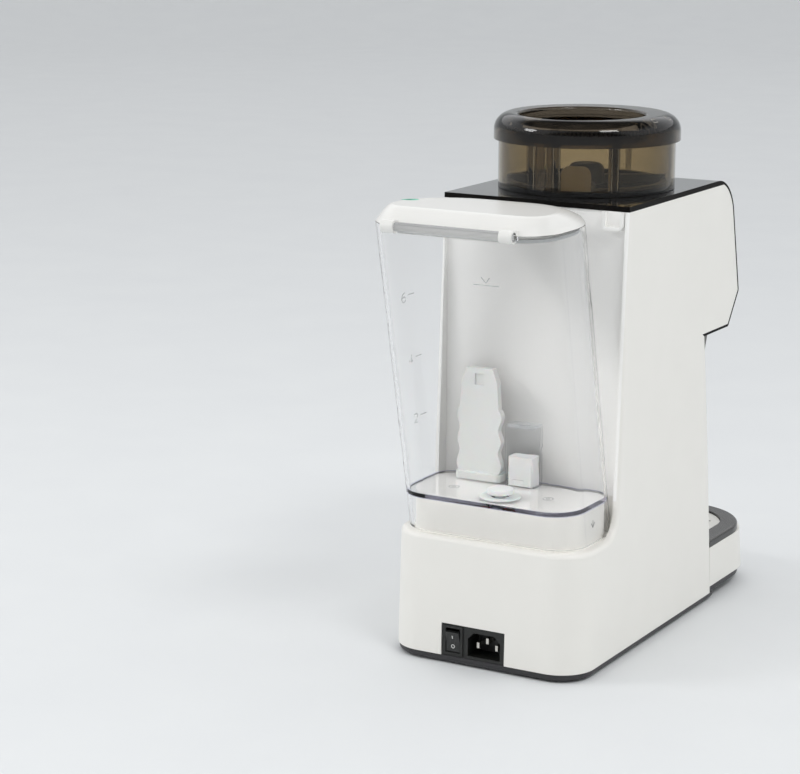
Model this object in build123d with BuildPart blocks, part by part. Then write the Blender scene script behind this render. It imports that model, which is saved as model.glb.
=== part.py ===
from build123d import *
from math import atan2, cos, degrees, radians, sin, sqrt, tan
import os

# Baby formula maker: a counter-top machine that heats water from a rear tank and
# mixes it with powder from a smoked hopper. Millimetres, +Z up, front towards -Y.
# The origin is on the floor under the middle of the overall box.

os.makedirs("parts", exist_ok=True)

# ---------------------------------------------------------------- driving sizes
# Fits between pieces
running_fit = 0.05      # radial, shaft in bush
sliding_fit = 0.3       # parts that lift or slide past each other
seam_fit = 0.15         # panels that lie side by side

# White body: rear base, column sides and rear wall
foot_height = 1.0
pan_depth = 5.0
body_width = 146.3
body_rear_y = 129.5
side_draft = 0.69       # degrees
rear_draft = 1.6        # degrees
rear_corner_r = 25.0
body_wall = 2.6
ledge_z = 87.6
edge_round = 3.0
panel_z = 305.9
panel_thickness = 3.6
column_foot_y = -91.1
column_bow = 1.4
column_head_y = -71.7
back_wall_y = 55.8
cheek_top_y = 58.3
cheek_bend_y, cheek_bend_z, cheek_bend_r = 63.6, 180.0, 500.0
cheek_foot_y, cheek_foot_r = 68.9, 19.0
cover_wall = 2.4

# Head, its gloss skin and the seam between head and column
panel_rear_y = 56.4
head_floor_z = 201.2
head_crown_y, head_crown_r = -116.9, 30.0
head_nose_y, head_nose_z, head_nose_r = -133.8, 225.0, 4.0
head_chin_y, head_chin_r = -115.2, 3.0
skin = 1.85
seam_foot_y, seam_top_y = -68.3, -59.3

# Front base and drip tray
base_front_y = -181.2
base_corner_r = 50.0
cover_high_corner_r, cover_low_corner_r, pan_corner_r = 46.0, 39.0, 45.0
front_skirt_z = 11.0
front_top_z = 41.0
tray_ring_height = 5.3
tray_ring_width = 13.0
tray_ledge = 3.0
tray_plate_thickness = 1.5

# Water tank, which stands between the body's cheeks
cheek_wall, tank_side_gap = 5.95, 1.2
recess_half = body_width / 2 - cheek_wall
tank_half = recess_half - tank_side_gap
tank_far_y, tank_far_lean = 61.4, 0.015
tank_foot_z, tank_floor_z, tank_rim_z = 89.4, 113.5, 304.0
tank_floor_thickness = 3.0
tank_wall = 2.4
tank_near_floor_y, tank_near_lean = 130.8, 0.24
tank_near_corner_r, tank_near_corner_gain = 23.0, 0.032
tank_far_corner_r = 15.0
tank_far_rim_flat = 0.5     # straight part left at the rim between the far corners
hinge_z, hinge_proud = 304.0, 1.1
hinge_r = 3.1
clip_x, clip_width, clip_wall = 42.5, 9.2, 1.2
lid_height = 10.7

# Tank valve
valve_x, valve_y = -4.0, 108.5
spout_r, spout_bore_r, spout_length = 7.5, 6.0, 9.0
socket_r, socket_wall, socket_depth = 9.5, 2.4, 14.0
cap_r, cap_height, valve_travel = 8.8, 3.1, 2.0
guide_r, guide_thickness = 13.9, 0.7
stem_r = 2.2

# Float and filter in the tank
float_x, float_y = -2.9, 73.4
cage_width, cage_depth, cage_height, cage_wall = 22.0, 15.5, 42.0, 1.5
cage_corner_r = 3.2
float_height, float_travel = 20.0, 14.0
filter_x, filter_y = 30.4, 71.4
filter_foot_width, filter_foot_depth, filter_foot_height = 35.0, 14.0, 5.0
filter_thickness = 5.0
filter_height = 78.0

# Hopper
hopper_y = -21.2
hopper_r, hopper_wall, hopper_height = 61.4, 2.2, 41.2
hopper_lift_gap = 0.3
outlet_y, outlet_r = -64.0, 11.0
lid_r, hopper_lid_height, lid_skirt, lid_round = 64.8, 18.0, 8.0, 12.0
dish_y, dish_r, dish_depth = -12.2, 43.8, 14.0

# Drive
gear_module = 1.0
wheel_teeth, pinion_teeth = 40, 12
gear_z, gear_width = 283.0, 6.0
plate_z, plate_thickness = 278.0, 3.0
spindle_r, spindle_hex = 5.5, 8.0
motor_r, motor_length = 17.0, 45.0

# Rear inlet
inlet_low_x, inlet_high_x, inlet_top_z = -18.8, 29.2, 28.6
rocker_x, rocker_z = 20.2, 17.4
bezel_width, bezel_height = 15.0, 20.6
socket_x, socket_z = -3.1, 16.6
socket_width, socket_height, socket_chamfer = 24.4, 16.6, 4.5

# Front controls
button_r, button_proud, button_travel = 6.5, 1.0, 0.8
button_pitch = 23.0
button_count = 4

# Dispensing block and funnel under the head
block_half, block_front_y, block_height, block_corner_r = 60.0, -108.0, 23.0, 4.0
block_draft = 6.0      # degrees
drawer_half, drawer_rear_y = 45.0, -77.0
nozzle_x, nozzle_y = -22.0, -92.0

# ------------------------------------------------------------- derived values
skirt_z = foot_height + pan_depth
panel_top_z = panel_z + panel_thickness
tank_floor_top_z = tank_floor_z + tank_floor_thickness
tank_far_rim_r = tank_half - tank_far_rim_flat / 2
tank_far_corner_gain = (tank_far_rim_r - tank_far_corner_r) / (tank_rim_z - tank_floor_top_z)
hopper_rim_z = panel_top_z + hopper_lift_gap + hopper_height
lid_rim_z = hopper_rim_z - lid_skirt
lid_top_z = lid_rim_z + hopper_lid_height
far_front_y = -150.0    # beyond the front of every cut that opens forwards
beyond = 20.0           # how far a cut runs past the face it opens


def half_width(z):
    """Half width of the white body at height z."""
    return body_width / 2 - (z - skirt_z) * tan(radians(side_draft))


def rear_y(z):
    """Y of the rear base face at height z."""
    return body_rear_y - (z - skirt_z) * tan(radians(rear_draft))


def column_front_y(z):
    """Y of the straight line between the ends of the column's front edge."""
    share = (z - skirt_z) / (head_floor_z - skirt_z)
    return column_foot_y + share * (column_head_y - column_foot_y)


def tank_near_y(z):
    """Y of the tank's rear face, which leans away from the column."""
    return tank_near_floor_y + tank_near_lean * (z - tank_floor_top_z)


def tank_far_line(z):
    """Y of the tank's far face, which leans a little the same way."""
    return tank_far_y + tank_far_lean * (z - tank_floor_top_z)


def slab(x0, x1, y0, y1, z0, z1, mode=Mode.ADD):
    """A box given by its six faces."""
    with Locations(((x0 + x1) / 2, (y0 + y1) / 2, (z0 + z1) / 2)):
        Box(x1 - x0, y1 - y0, z1 - z0, mode=mode)


def post(x, y, z0, z1, radius, mode=Mode.ADD):
    """An upright cylinder from z0 to z1."""
    with Locations((x, y, z0)):
        Cylinder(radius, z1 - z0, align=(Align.CENTER, Align.CENTER, Align.MIN), mode=mode)


def finish(builder, name):
    """Label a finished piece and write its STEP file."""
    builder.part.label = name
    export_step(builder.part, f"parts/{name}.step")


# ------------------------------------------------------ shapes that pieces share
def body_section(z, inset):
    """Plan outline of the white body at height z, with rounded rear corners."""
    rear = rear_y(z) - inset
    with BuildSketch(Plane.XY.offset(z)) as section:
        with Locations((0, (far_front_y + rear) / 2)):
            Rectangle(2 * (half_width(z) - inset), rear - far_front_y)
        fillet(section.vertices().group_by(Axis.Y)[-1], rear_corner_r - inset)
    return section.sketch


def body_block(inset, z_low, z_high):
    """The drafted block that the white body is cut from."""
    sections = [body_section(z_low, inset), body_section(z_high, inset)]
    with BuildPart() as block:
        loft(sections, ruled=True)
    return block.part


def tank_section(z, inset):
    """Plan outline of the tank at height z: small far corners that grow with height."""
    half, near, far = tank_half - inset, tank_near_y(z) - inset, tank_far_line(z) + inset
    near_r = tank_near_corner_r + tank_near_corner_gain * (z - tank_floor_top_z) - inset
    far_r = tank_far_corner_r + tank_far_corner_gain * (z - tank_floor_top_z) - inset
    with BuildSketch(Plane.XY.offset(z)) as section:
        with Locations((0, (near + far) / 2)):
            Rectangle(2 * half, near - far)
        fillet(section.vertices().group_by(Axis.Y)[-1], near_r)
        fillet(section.vertices().group_by(Axis.Y)[0], far_r)
    return section.sketch


def tank_block(z_low, z_high, inset):
    """The tank's leaning block between two heights, drawn in by inset."""
    sections = [tank_section(z_low, inset), tank_section(z_high, inset)]
    with BuildPart() as block:
        loft(sections, ruled=True)
    return block.part


def base_plan(inset, rear, z, corner_r=base_corner_r):
    """D-shaped plan of the front base, drawn in by inset, from rear to its rounded front."""
    front = base_front_y + inset
    with BuildSketch(Plane.XY.offset(z)) as plan:
        with Locations((0, (front + rear) / 2)):
            Rectangle(body_width - 2 * inset, rear - front)
        fillet(plan.vertices().group_by(Axis.Y)[0], corner_r - inset)
    return plan.sketch


def rear_outline(top_z, low_z):
    """Rear line of the body from top_z down to low_z: cheek, sweep, ledge and rear face."""
    lean = (cheek_bend_y - cheek_top_y) / (panel_z - cheek_bend_z)
    return [
        (cheek_top_y - lean * (top_z - panel_z), top_z),
        (cheek_bend_y, cheek_bend_z),
        (cheek_foot_y, ledge_z),
        (rear_y(ledge_z), ledge_z),
        (rear_y(low_z), low_z),
    ]


def round_corner(sketch, y, z, radius):
    """Round the corner of a side-view sketch that lies at y, z."""
    fillet(sketch.vertices().sort_by_distance((y, z, 0))[0], radius)


def round_cheek(sketch):
    """Round the two hollow bends of the cheek line."""
    round_corner(sketch, cheek_bend_y, cheek_bend_z, cheek_bend_r)
    round_corner(sketch, cheek_foot_y, ledge_z, cheek_foot_r)


with BuildSketch(Plane.YZ) as housing_side:
    with BuildLine():
        column_mid_z = (skirt_z + head_floor_z) / 2
        column_mid = (column_front_y(column_mid_z) - column_bow, column_mid_z)
        ThreePointArc((column_foot_y, skirt_z), column_mid, (column_head_y, head_floor_z))
        Polyline(
            (column_head_y, head_floor_z),
            (seam_foot_y, head_floor_z + skin),
            (seam_top_y, panel_z),
            *rear_outline(panel_z, skirt_z),
            (column_foot_y, skirt_z),
        )
    make_face()
    round_cheek(housing_side)

with BuildSketch(Plane.YZ) as cavity_side:
    with BuildLine():
        Polyline(
            (far_front_y - beyond, panel_z + beyond),
            *rear_outline(panel_z + beyond, -beyond),
            (far_front_y - beyond, -beyond),
            close=True,
        )
    make_face()
    round_cheek(cavity_side)
    offset(amount=-body_wall, kind=Kind.INTERSECTION, mode=Mode.REPLACE)

with BuildPart() as body_side:
    extrude(housing_side.sketch, amount=body_width, both=True)

# Outline of the head in its gloss skin, closed far behind the column
head_back_y = 100.0
with BuildSketch(Plane.YZ) as head_outline:
    with BuildLine():
        Polyline(
            (head_back_y, panel_top_z),
            (head_crown_y, panel_top_z),
            (head_nose_y, head_nose_z),
            (head_chin_y, head_floor_z),
            (head_back_y, head_floor_z),
            close=True,
        )
    make_face()
    round_corner(head_outline, head_crown_y, panel_top_z, head_crown_r)
    round_corner(head_outline, head_nose_y, head_nose_z, head_nose_r)
    round_corner(head_outline, head_chin_y, head_floor_z, head_chin_r)

with BuildSketch(Plane.YZ) as head_core:
    add(head_outline.sketch_local)
    offset(amount=-skin, kind=Kind.INTERSECTION, mode=Mode.REPLACE)
    with Locations(((far_front_y + head_back_y) / 2, panel_z + beyond / 2)):
        Rectangle(head_back_y - far_front_y, beyond, mode=Mode.SUBTRACT)

# ------------------------------------------------------------------- base pan
pan_inset, pan_wall, pan_round, pan_floor = 0.8, 3.0, 3.0, 2.5
pan_floor_z = foot_height + pan_floor
pan_rear_y = body_rear_y - pan_inset

pan_lap = 6.0       # how far the low pan runs under its raised nose
foot_r, foot_inset = 8.0, 17.0
foot_places = [
    (body_width / 2 - foot_inset, body_rear_y - 1.6 * foot_inset),
    (foot_inset - body_width / 2, body_rear_y - 1.6 * foot_inset),
    (body_width / 2 - 2 * foot_inset, base_front_y + foot_inset),
    (2 * foot_inset - body_width / 2, base_front_y + foot_inset),
]
pan_front = base_plan(pan_inset, column_foot_y - seam_fit, skirt_z, pan_corner_r)
pan_front_pocket = base_plan(
    pan_inset + pan_wall, column_foot_y + 1, skirt_z + pan_floor, pan_corner_r
)

with BuildPart() as pan_nose:
    extrude(pan_front, amount=front_skirt_z - skirt_z)
    fillet(pan_nose.faces().sort_by(Axis.Z)[0].edges(), pan_round / 2)

with BuildPart() as base_pan:
    with BuildSketch(Plane.XY.offset(foot_height)) as rear_plan:
        with Locations((0, (column_foot_y - pan_lap + pan_rear_y) / 2)):
            Rectangle(body_width - 2 * pan_inset, pan_rear_y - column_foot_y + pan_lap)
        fillet(rear_plan.vertices().group_by(Axis.Y)[-1], rear_corner_r - pan_inset)
    extrude(amount=pan_depth)
    fillet(base_pan.faces().sort_by(Axis.Z)[0].edges(), pan_round)
    add(pan_nose.part)
    for foot_x, foot_y in foot_places[2:]:
        post(foot_x, foot_y, foot_height, skirt_z + 1, foot_r)
    with BuildSketch(Plane.XY.offset(pan_floor_z)) as pan_pocket:
        pocket_rear_y = pan_rear_y - pan_wall
        with Locations((0, (column_foot_y + pocket_rear_y) / 2)):
            Rectangle(
                body_width - 2 * (pan_inset + pan_wall), pocket_rear_y - column_foot_y
            )
        fillet(
            pan_pocket.vertices().group_by(Axis.Y)[-1], rear_corner_r - pan_inset - pan_wall
        )
    extrude(amount=beyond, mode=Mode.SUBTRACT)
    extrude(pan_front_pocket, amount=beyond, mode=Mode.SUBTRACT)

# Screw bosses of the housing stand on the pan at these places
boss_x_far = body_width / 2 - 9.15
boss_places = [(x, y) for x in (-boss_x_far, boss_x_far) for y in (100.0, -60.0)]
boss_r, screw_r, screw_head_r, screw_head_height = 4.5, 1.5, 3.0, 1.2
with BuildPart(mode=Mode.PRIVATE) as pan_screw_holes:
    for boss_x, boss_y in boss_places:
        post(boss_x, boss_y, 0, pan_floor_z + 1, screw_r + seam_fit)
        post(boss_x, boss_y, 0, foot_height + screw_head_height, screw_head_r + seam_fit)
with BuildPart() as drilled_pan:
    add(base_pan.part)
    add(pan_screw_holes.part, mode=Mode.SUBTRACT)
finish(drilled_pan, "base_pan")

with BuildPart() as rubber_feet:
    for foot_x, foot_y in foot_places:
        post(foot_x, foot_y, 0, foot_height, foot_r)
finish(rubber_feet, "rubber_feet")

# --------------------------------------------------------------- main housing
outer_block = body_block(0, skirt_z, panel_z)
inner_block = body_block(body_wall, -beyond, panel_z + beyond)

with BuildPart() as housing_cavity:
    extrude(cavity_side.sketch, amount=body_width, both=True)
    add(inner_block, mode=Mode.INTERSECT)
    slab(
        -recess_half - body_wall, recess_half + body_wall,
        back_wall_y - body_wall, body_rear_y + beyond,
        ledge_z - body_wall, panel_z + 2 * beyond, mode=Mode.SUBTRACT,
    )

with BuildPart() as main_housing:
    add(body_side.part)
    add(outer_block, mode=Mode.INTERSECT)
    rounded = [
        edge for edge in main_housing.edges()
        if edge.center().Z > ledge_z - 0.5
        and edge.center().Y > back_wall_y
        and (abs(edge.center().X) > tank_half / 2 or edge.center().Y > rear_y(ledge_z) - 1)
        and edge.center().Z < panel_z - 0.5
    ]
    fillet(rounded, edge_round)
    slab(
        -recess_half, recess_half, back_wall_y, body_rear_y + beyond,
        ledge_z, panel_z + beyond, mode=Mode.SUBTRACT,
    )
    add(housing_cavity.part, mode=Mode.SUBTRACT)
    for boss_x, boss_y in boss_places:
        post(boss_x, boss_y, pan_floor_z + seam_fit, pan_floor_z + 26, boss_r)
        reach = half_width(skirt_z) - body_wall / 2
        side = 1 if boss_x > 0 else -1
        slab(
            min(boss_x, side * reach), max(boss_x, side * reach), boss_y - 1, boss_y + 1,
            pan_floor_z + 4, pan_floor_z + 26,
        )
        post(boss_x, boss_y, pan_floor_z, pan_floor_z + 16, screw_r, mode=Mode.SUBTRACT)
    slab(
        inlet_low_x, inlet_high_x, body_rear_y - beyond, body_rear_y + beyond,
        0, inlet_top_z, mode=Mode.SUBTRACT,
    )
    post(valve_x, valve_y, ledge_z - beyond, ledge_z + 1, socket_r + socket_wall + seam_fit, Mode.SUBTRACT)
finish(main_housing, "main_housing")

with BuildPart() as base_screws:
    for boss_x, boss_y in boss_places:
        post(boss_x, boss_y, foot_height, foot_height + screw_head_height, screw_head_r)
        post(boss_x, boss_y, foot_height, pan_floor_z + 12, screw_r)
finish(base_screws, "base_screws")

# -------------------------------------------------------- column front cover
with BuildSketch(Plane.YZ) as front_cover_side:
    with BuildLine():
        low, high = (column_foot_y, skirt_z), (column_head_y, head_floor_z)
        ThreePointArc(low, column_mid, high)
        Line(high, (column_head_y + cover_wall, head_floor_z))
        ThreePointArc(
            (column_head_y + cover_wall, head_floor_z),
            (column_mid[0] + cover_wall, column_mid[1]),
            (column_foot_y + cover_wall, skirt_z),
        )
        Line((column_foot_y + cover_wall, skirt_z), low)
    make_face()

cover_block = body_block(body_wall + seam_fit, -beyond, panel_z + beyond)
with BuildPart() as column_front_cover:
    extrude(front_cover_side.sketch, amount=body_width, both=True)
    add(cover_block, mode=Mode.INTERSECT)
finish(column_front_cover, "column_front_cover")

# ------------------------------------------------------------ gloss top cover
with BuildSketch(Plane.YZ) as gloss_side:
    add(head_outline.sketch_local)
    add(head_core.sketch_local, mode=Mode.SUBTRACT)
    with Locations(((panel_rear_y + head_back_y + beyond) / 2, panel_z)):
        Rectangle(head_back_y + beyond - panel_rear_y, 2 * panel_z, mode=Mode.SUBTRACT)
    with Locations(((column_head_y - seam_fit + head_back_y) / 2, panel_z / 2)):
        Rectangle(head_back_y - column_head_y + seam_fit, panel_z, mode=Mode.SUBTRACT)

head_block = body_block(0, head_floor_z - beyond, panel_top_z)
front_tilt = degrees(atan2(head_crown_y - head_nose_y, panel_top_z - head_nose_z))
face_share = 0.33       # how far up the front face its controls are centred
face_mid_y = head_nose_y + face_share * (head_crown_y - head_nose_y)
face_mid_z = head_nose_z + face_share * (panel_top_z - head_nose_z)
face_plane = Plane(
    origin=(0, face_mid_y, face_mid_z),
    x_dir=(1, 0, 0),
    z_dir=(0, -cos(radians(front_tilt)), sin(radians(front_tilt))),
)
window_width, window_height, window_rise, window_depth = 54.0, 20.0, 11.0, 0.9
button_drop = -13.0
button_xs = [(i - (button_count - 1) / 2) * button_pitch for i in range(button_count)]
button_names = ["power_button", "volume_button", "temperature_button", "start_button"]
collar_r = 10.0
with BuildPart() as gloss_cover:
    extrude(gloss_side.sketch, amount=body_width, both=True)
    add(head_block, mode=Mode.INTERSECT)
    post(0, hopper_y, panel_z - 1, panel_top_z + 1, collar_r, mode=Mode.SUBTRACT)
    post(0, outlet_y, panel_z - 1, panel_top_z + 1, outlet_r + 2, mode=Mode.SUBTRACT)
    slab(
        -drawer_half, drawer_half, block_front_y + 6, column_head_y - seam_fit - 3,
        head_floor_z - 1, head_floor_z + 2 * skin, mode=Mode.SUBTRACT,
    )
    with BuildSketch(face_plane):
        with Locations([(x, button_drop) for x in button_xs]):
            Circle(button_r + sliding_fit)
    extrude(amount=2 * skin, both=True, mode=Mode.SUBTRACT)
    with BuildSketch(face_plane):
        with Locations((0, window_rise)):
            Rectangle(window_width, window_height)
    extrude(amount=-window_depth, mode=Mode.SUBTRACT)
finish(gloss_cover, "gloss_cover")

with BuildPart() as display_window:
    with BuildSketch(face_plane):
        with Locations((0, window_rise)):
            RectangleRounded(window_width - seam_fit, window_height - seam_fit, 0.8)
    extrude(amount=-window_depth)
finish(display_window, "display_window")

# --------------------------------------------------------------- head housing
with BuildSketch(Plane.YZ) as behind_seam:
    with BuildLine():
        slope = (seam_top_y - seam_foot_y) / (panel_z - head_floor_z - skin)
        Polyline(
            (seam_foot_y - slope * beyond, head_floor_z + skin - beyond),
            (seam_top_y + slope * beyond, panel_z + beyond),
            (head_back_y + beyond, panel_z + beyond),
            (head_back_y + beyond, head_floor_z - beyond),
            close=True,
        )
    make_face()

with BuildSketch(Plane.YZ) as head_side:
    add(head_core.sketch_local)
    add(behind_seam.sketch_local, mode=Mode.SUBTRACT)

with BuildSketch(Plane.YZ) as head_cavity_side:
    add(head_core.sketch_local)
    offset(amount=-cover_wall, kind=Kind.INTERSECTION, mode=Mode.REPLACE)
    with Locations((-80, panel_z)):
        Rectangle(50, 50)

head_inner_block = body_block(cover_wall, head_floor_z - beyond, panel_top_z + beyond)
with BuildPart() as head_cavity:
    extrude(head_cavity_side.sketch, amount=body_width, both=True)
    add(head_inner_block, mode=Mode.INTERSECT)

with BuildPart() as head_housing:
    extrude(head_side.sketch, amount=body_width, both=True)
    add(head_block, mode=Mode.INTERSECT)
    add(head_cavity.part, mode=Mode.SUBTRACT)
    slab(
        -drawer_half, drawer_half, block_front_y + 6, seam_top_y,
        head_floor_z, head_floor_z + 3 * cover_wall, mode=Mode.SUBTRACT,
    )
    with BuildSketch(face_plane):
        with Locations([(x, button_drop) for x in button_xs]):
            Circle(button_r + sliding_fit)
    extrude(amount=4 * cover_wall, both=True, mode=Mode.SUBTRACT)
finish(head_housing, "head_housing")

# Push buttons: a cap in the gloss skin and a shank that reaches the board
board_depth = 9.0
for button_x, button_name in zip(button_xs, button_names):
    with BuildPart() as button:
        with BuildSketch(face_plane.offset(button_proud)):
            with Locations((button_x, button_drop)):
                Circle(button_r)
        extrude(amount=-(button_proud + skin + cover_wall + 1))
        fillet(button.faces().sort_by(Axis.Y)[0].edges(), 0.6)
        with BuildSketch(face_plane.offset(-(skin + cover_wall + 0.2))):
            with Locations((button_x, button_drop)):
                Circle(button_r + 1.2)
        extrude(amount=-1.0)
        with BuildSketch(face_plane.offset(-(skin + cover_wall))):
            with Locations((button_x, button_drop)):
                Circle(button_r / 2)
        extrude(amount=-(board_depth - skin - cover_wall - 1.5 * button_travel))
    finish(button, button_name)

board_width, board_height, board_thickness = 100.0, 52.0, 1.6
with BuildPart() as control_board:
    with BuildSketch(face_plane.offset(-board_depth)):
        Rectangle(board_width, board_height)
    extrude(amount=-board_thickness)
    with BuildSketch(face_plane.offset(-board_depth)):
        with GridLocations(board_width - 8, board_height - 8, 2, 2):
            Circle(2.5)
    extrude(amount=board_depth - skin - cover_wall)
    with BuildSketch(face_plane.offset(-board_depth - board_thickness)):
        with Locations((-24, 6), (20, 8)):
            Rectangle(22, 16)
    extrude(amount=-5)
finish(control_board, "control_board")

# ------------------------------------------------------------ front base cover
front_rear_y = column_head_y     # runs behind the column's front edge, then is cut to it
front_low = base_plan(0, front_rear_y, front_skirt_z, cover_low_corner_r)
front_high = base_plan(0, front_rear_y, front_top_z, cover_high_corner_r)
front_inner = base_plan(body_wall, front_rear_y + 1, front_skirt_z, cover_high_corner_r)
with BuildPart() as front_base_cover:
    loft([front_low, front_high], ruled=True)
    extrude(front_inner, amount=front_top_z - front_skirt_z, mode=Mode.SUBTRACT)
    add(body_side.part, mode=Mode.SUBTRACT)
finish(front_base_cover, "front_base_cover")

# ---------------------------------------------------- drip tray and its plate
tray_gap = 0.5
tray_rear_y = column_front_y(front_top_z) - column_bow
tray_wall, tray_floor_z = 2.0, front_skirt_z + 2.5
ring_top_z = front_top_z + tray_ring_height
seat_z = ring_top_z - tray_plate_thickness - 1.5
tray_inset = body_wall + tray_gap
ring_plan = base_plan(0.3, tray_rear_y, front_top_z)
basin_plan = base_plan(tray_inset, tray_rear_y - 3, tray_floor_z)
basin_inner = base_plan(tray_inset + tray_wall, tray_rear_y - 3 - tray_wall, tray_floor_z + tray_wall)
ring_opening = base_plan(tray_ring_width + tray_ledge, tray_rear_y - 3 - tray_wall, tray_floor_z + tray_wall)
plate_pocket = base_plan(tray_ring_width, tray_rear_y - 4, seat_z)
plate_plan = base_plan(tray_ring_width + sliding_fit, tray_rear_y - 4 - sliding_fit, seat_z)

with BuildPart() as drip_tray:
    extrude(ring_plan, amount=tray_ring_height)
    fillet(drip_tray.faces().sort_by(Axis.Z)[-1].edges(), 2.0)
    extrude(basin_plan, amount=front_top_z - tray_floor_z)
    extrude(basin_inner, amount=front_top_z - tray_floor_z - tray_wall, mode=Mode.SUBTRACT)
    extrude(ring_opening, amount=ring_top_z, mode=Mode.SUBTRACT)
    extrude(plate_pocket, amount=beyond, mode=Mode.SUBTRACT)
finish(drip_tray, "drip_tray")

plate_mid_y = (base_front_y + tray_rear_y) / 2 - 1
with BuildPart() as tray_plate:
    extrude(plate_plan, amount=tray_plate_thickness)
    with BuildSketch(Plane.XY.offset(seat_z)):
        with Locations((0, plate_mid_y)):
            for ring_r, hole_count in ((10.0, 6), (20.0, 10), (30.0, 16)):
                with PolarLocations(ring_r, hole_count):
                    Circle(1.7)
    extrude(amount=tray_plate_thickness, mode=Mode.SUBTRACT)
finish(tray_plate, "tray_plate")

# ------------------------------------------------------- seat under the tank
seat_gap = 1.0
seat_wall = 2.2
seat_top_z = tank_floor_z - 0.2


def seat_block(z_high, inset):
    """Upright block that clears the tank's leaning skirt by inset at every height of its lift."""
    near, far = tank_near_y(tank_foot_z) - inset, tank_far_line(tank_foot_z) + inset
    with BuildPart() as block:
        with BuildSketch(Plane.XY.offset(ledge_z)) as plan:
            with Locations((0, (near + far) / 2)):
                Rectangle(2 * (tank_half - inset), near - far)
            fillet(plan.vertices().group_by(Axis.Y)[-1], tank_near_corner_r - inset)
            fillet(plan.vertices().group_by(Axis.Y)[0], tank_far_corner_r - inset)
        extrude(plan.sketch, amount=z_high - ledge_z)
    return block.part


seat_outer = seat_block(seat_top_z, tank_wall + seat_gap)
seat_inner = seat_block(seat_top_z - seat_wall, tank_wall + seat_gap + seat_wall)
socket_floor_z = seat_top_z - socket_depth
nipple_r, hose_bore_r = 4.5, 2.6
nipple_foot_z = ledge_z - 8
with BuildPart() as tank_seat:
    add(seat_outer)
    add(seat_inner, mode=Mode.SUBTRACT)
    post(valve_x, valve_y, socket_floor_z - socket_wall, seat_top_z, socket_r + socket_wall)
    post(valve_x, valve_y, socket_floor_z, seat_top_z + 1, socket_r, mode=Mode.SUBTRACT)
    post(valve_x, valve_y, nipple_foot_z, socket_floor_z, nipple_r)
    post(valve_x, valve_y, nipple_foot_z - 1, socket_floor_z + 1, hose_bore_r, mode=Mode.SUBTRACT)
finish(tank_seat, "tank_seat")

seal_foot_z, seal_height = socket_floor_z + 3.0, 6.0
with BuildPart() as outlet_seal:
    post(valve_x, valve_y, seal_foot_z, seal_foot_z + seal_height, socket_r)
    post(valve_x, valve_y, socket_floor_z, seat_top_z, spout_r + 2 * running_fit, mode=Mode.SUBTRACT)
finish(outlet_seal, "outlet_seal")

stem_foot_z = tank_floor_z - spout_length + 1.0
pin_r = 1.2
with BuildPart() as valve_pin:
    slab(
        valve_x - socket_r + 0.1, valve_x + socket_r - 0.1, valve_y - pin_r, valve_y + pin_r,
        socket_floor_z, socket_floor_z + 1.6,
    )
    post(valve_x, valve_y, socket_floor_z, stem_foot_z - 0.1, pin_r)
finish(valve_pin, "valve_pin")

reed_height = 8.0
with BuildPart() as reed_sensor:
    slab(
        float_x - 8, float_x + 8, float_y - 4, float_y + 4,
        seat_top_z - seat_wall - reed_height, seat_top_z - seat_wall,
    )
finish(reed_sensor, "reed_sensor")

# Catches on the column's rear wall, one at each top corner beside the tank
catch_low_x, catch_high_x, catch_height, catch_depth, catch_wall = 51.0, 66.5, 12.6, 4.4, 2.6
with BuildPart() as tank_catches:
    for side in (-1, 1):
        mid_x = side * (catch_low_x + catch_high_x) / 2
        with BuildSketch(Plane.XZ.offset(-back_wall_y)) as catch_face:
            with Locations((mid_x, panel_z - catch_height / 2)):
                Rectangle(catch_high_x - catch_low_x, catch_height)
            fillet(catch_face.vertices().group_by(Axis.Y)[0], 4.5)
        extrude(amount=-catch_depth)
        slab(
            min(side * (catch_low_x + catch_wall), side * (catch_high_x - catch_wall)),
            max(side * (catch_low_x + catch_wall), side * (catch_high_x - catch_wall)),
            back_wall_y + 1.2, back_wall_y + catch_depth + 1,
            panel_z - catch_height + catch_wall, panel_z + 1, mode=Mode.SUBTRACT,
        )
finish(tank_catches, "tank_catches")

# ----------------------------------------------------------------- tank shell
hinge_y = tank_near_y(tank_rim_z) + hinge_proud
hinge_half = clip_x + clip_width / 2 - 0.6
notch_half = clip_width / 2 + 0.4
notch_r = hinge_r + clip_wall + 0.6
tank_outer = tank_block(tank_foot_z, tank_rim_z, 0)
tank_inner = tank_block(tank_floor_top_z, tank_rim_z + 0.01, tank_wall)
skirt_inner = tank_block(tank_foot_z - 0.01, tank_floor_z, tank_wall)


def rod(x0, x1, radius, mode=Mode.ADD):
    """A length of round bar on the lid's hinge axis."""
    with BuildSketch(Plane.YZ.offset(x0)) as section:
        with Locations((hinge_y, hinge_z)):
            Circle(radius)
    extrude(section.sketch, amount=x1 - x0, mode=mode)


with BuildPart() as tank_shell:
    add(tank_outer)
    add(tank_inner, mode=Mode.SUBTRACT)
    add(skirt_inner, mode=Mode.SUBTRACT)
    rod(-hinge_half, hinge_half, hinge_r)
    for side in (-1, 1):
        with BuildSketch(Plane.YZ.offset(side * clip_x - notch_half)):
            with Locations((hinge_y, hinge_z)):
                Circle(notch_r)
                Circle(hinge_r, mode=Mode.SUBTRACT)
        extrude(amount=2 * notch_half, mode=Mode.SUBTRACT)
    post(valve_x, valve_y, tank_floor_z - spout_length, tank_floor_z, spout_r)
    post(valve_x, valve_y, tank_floor_z - spout_length - 1, tank_floor_top_z + 1, spout_bore_r, Mode.SUBTRACT)
finish(tank_shell, "tank_shell")

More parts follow.
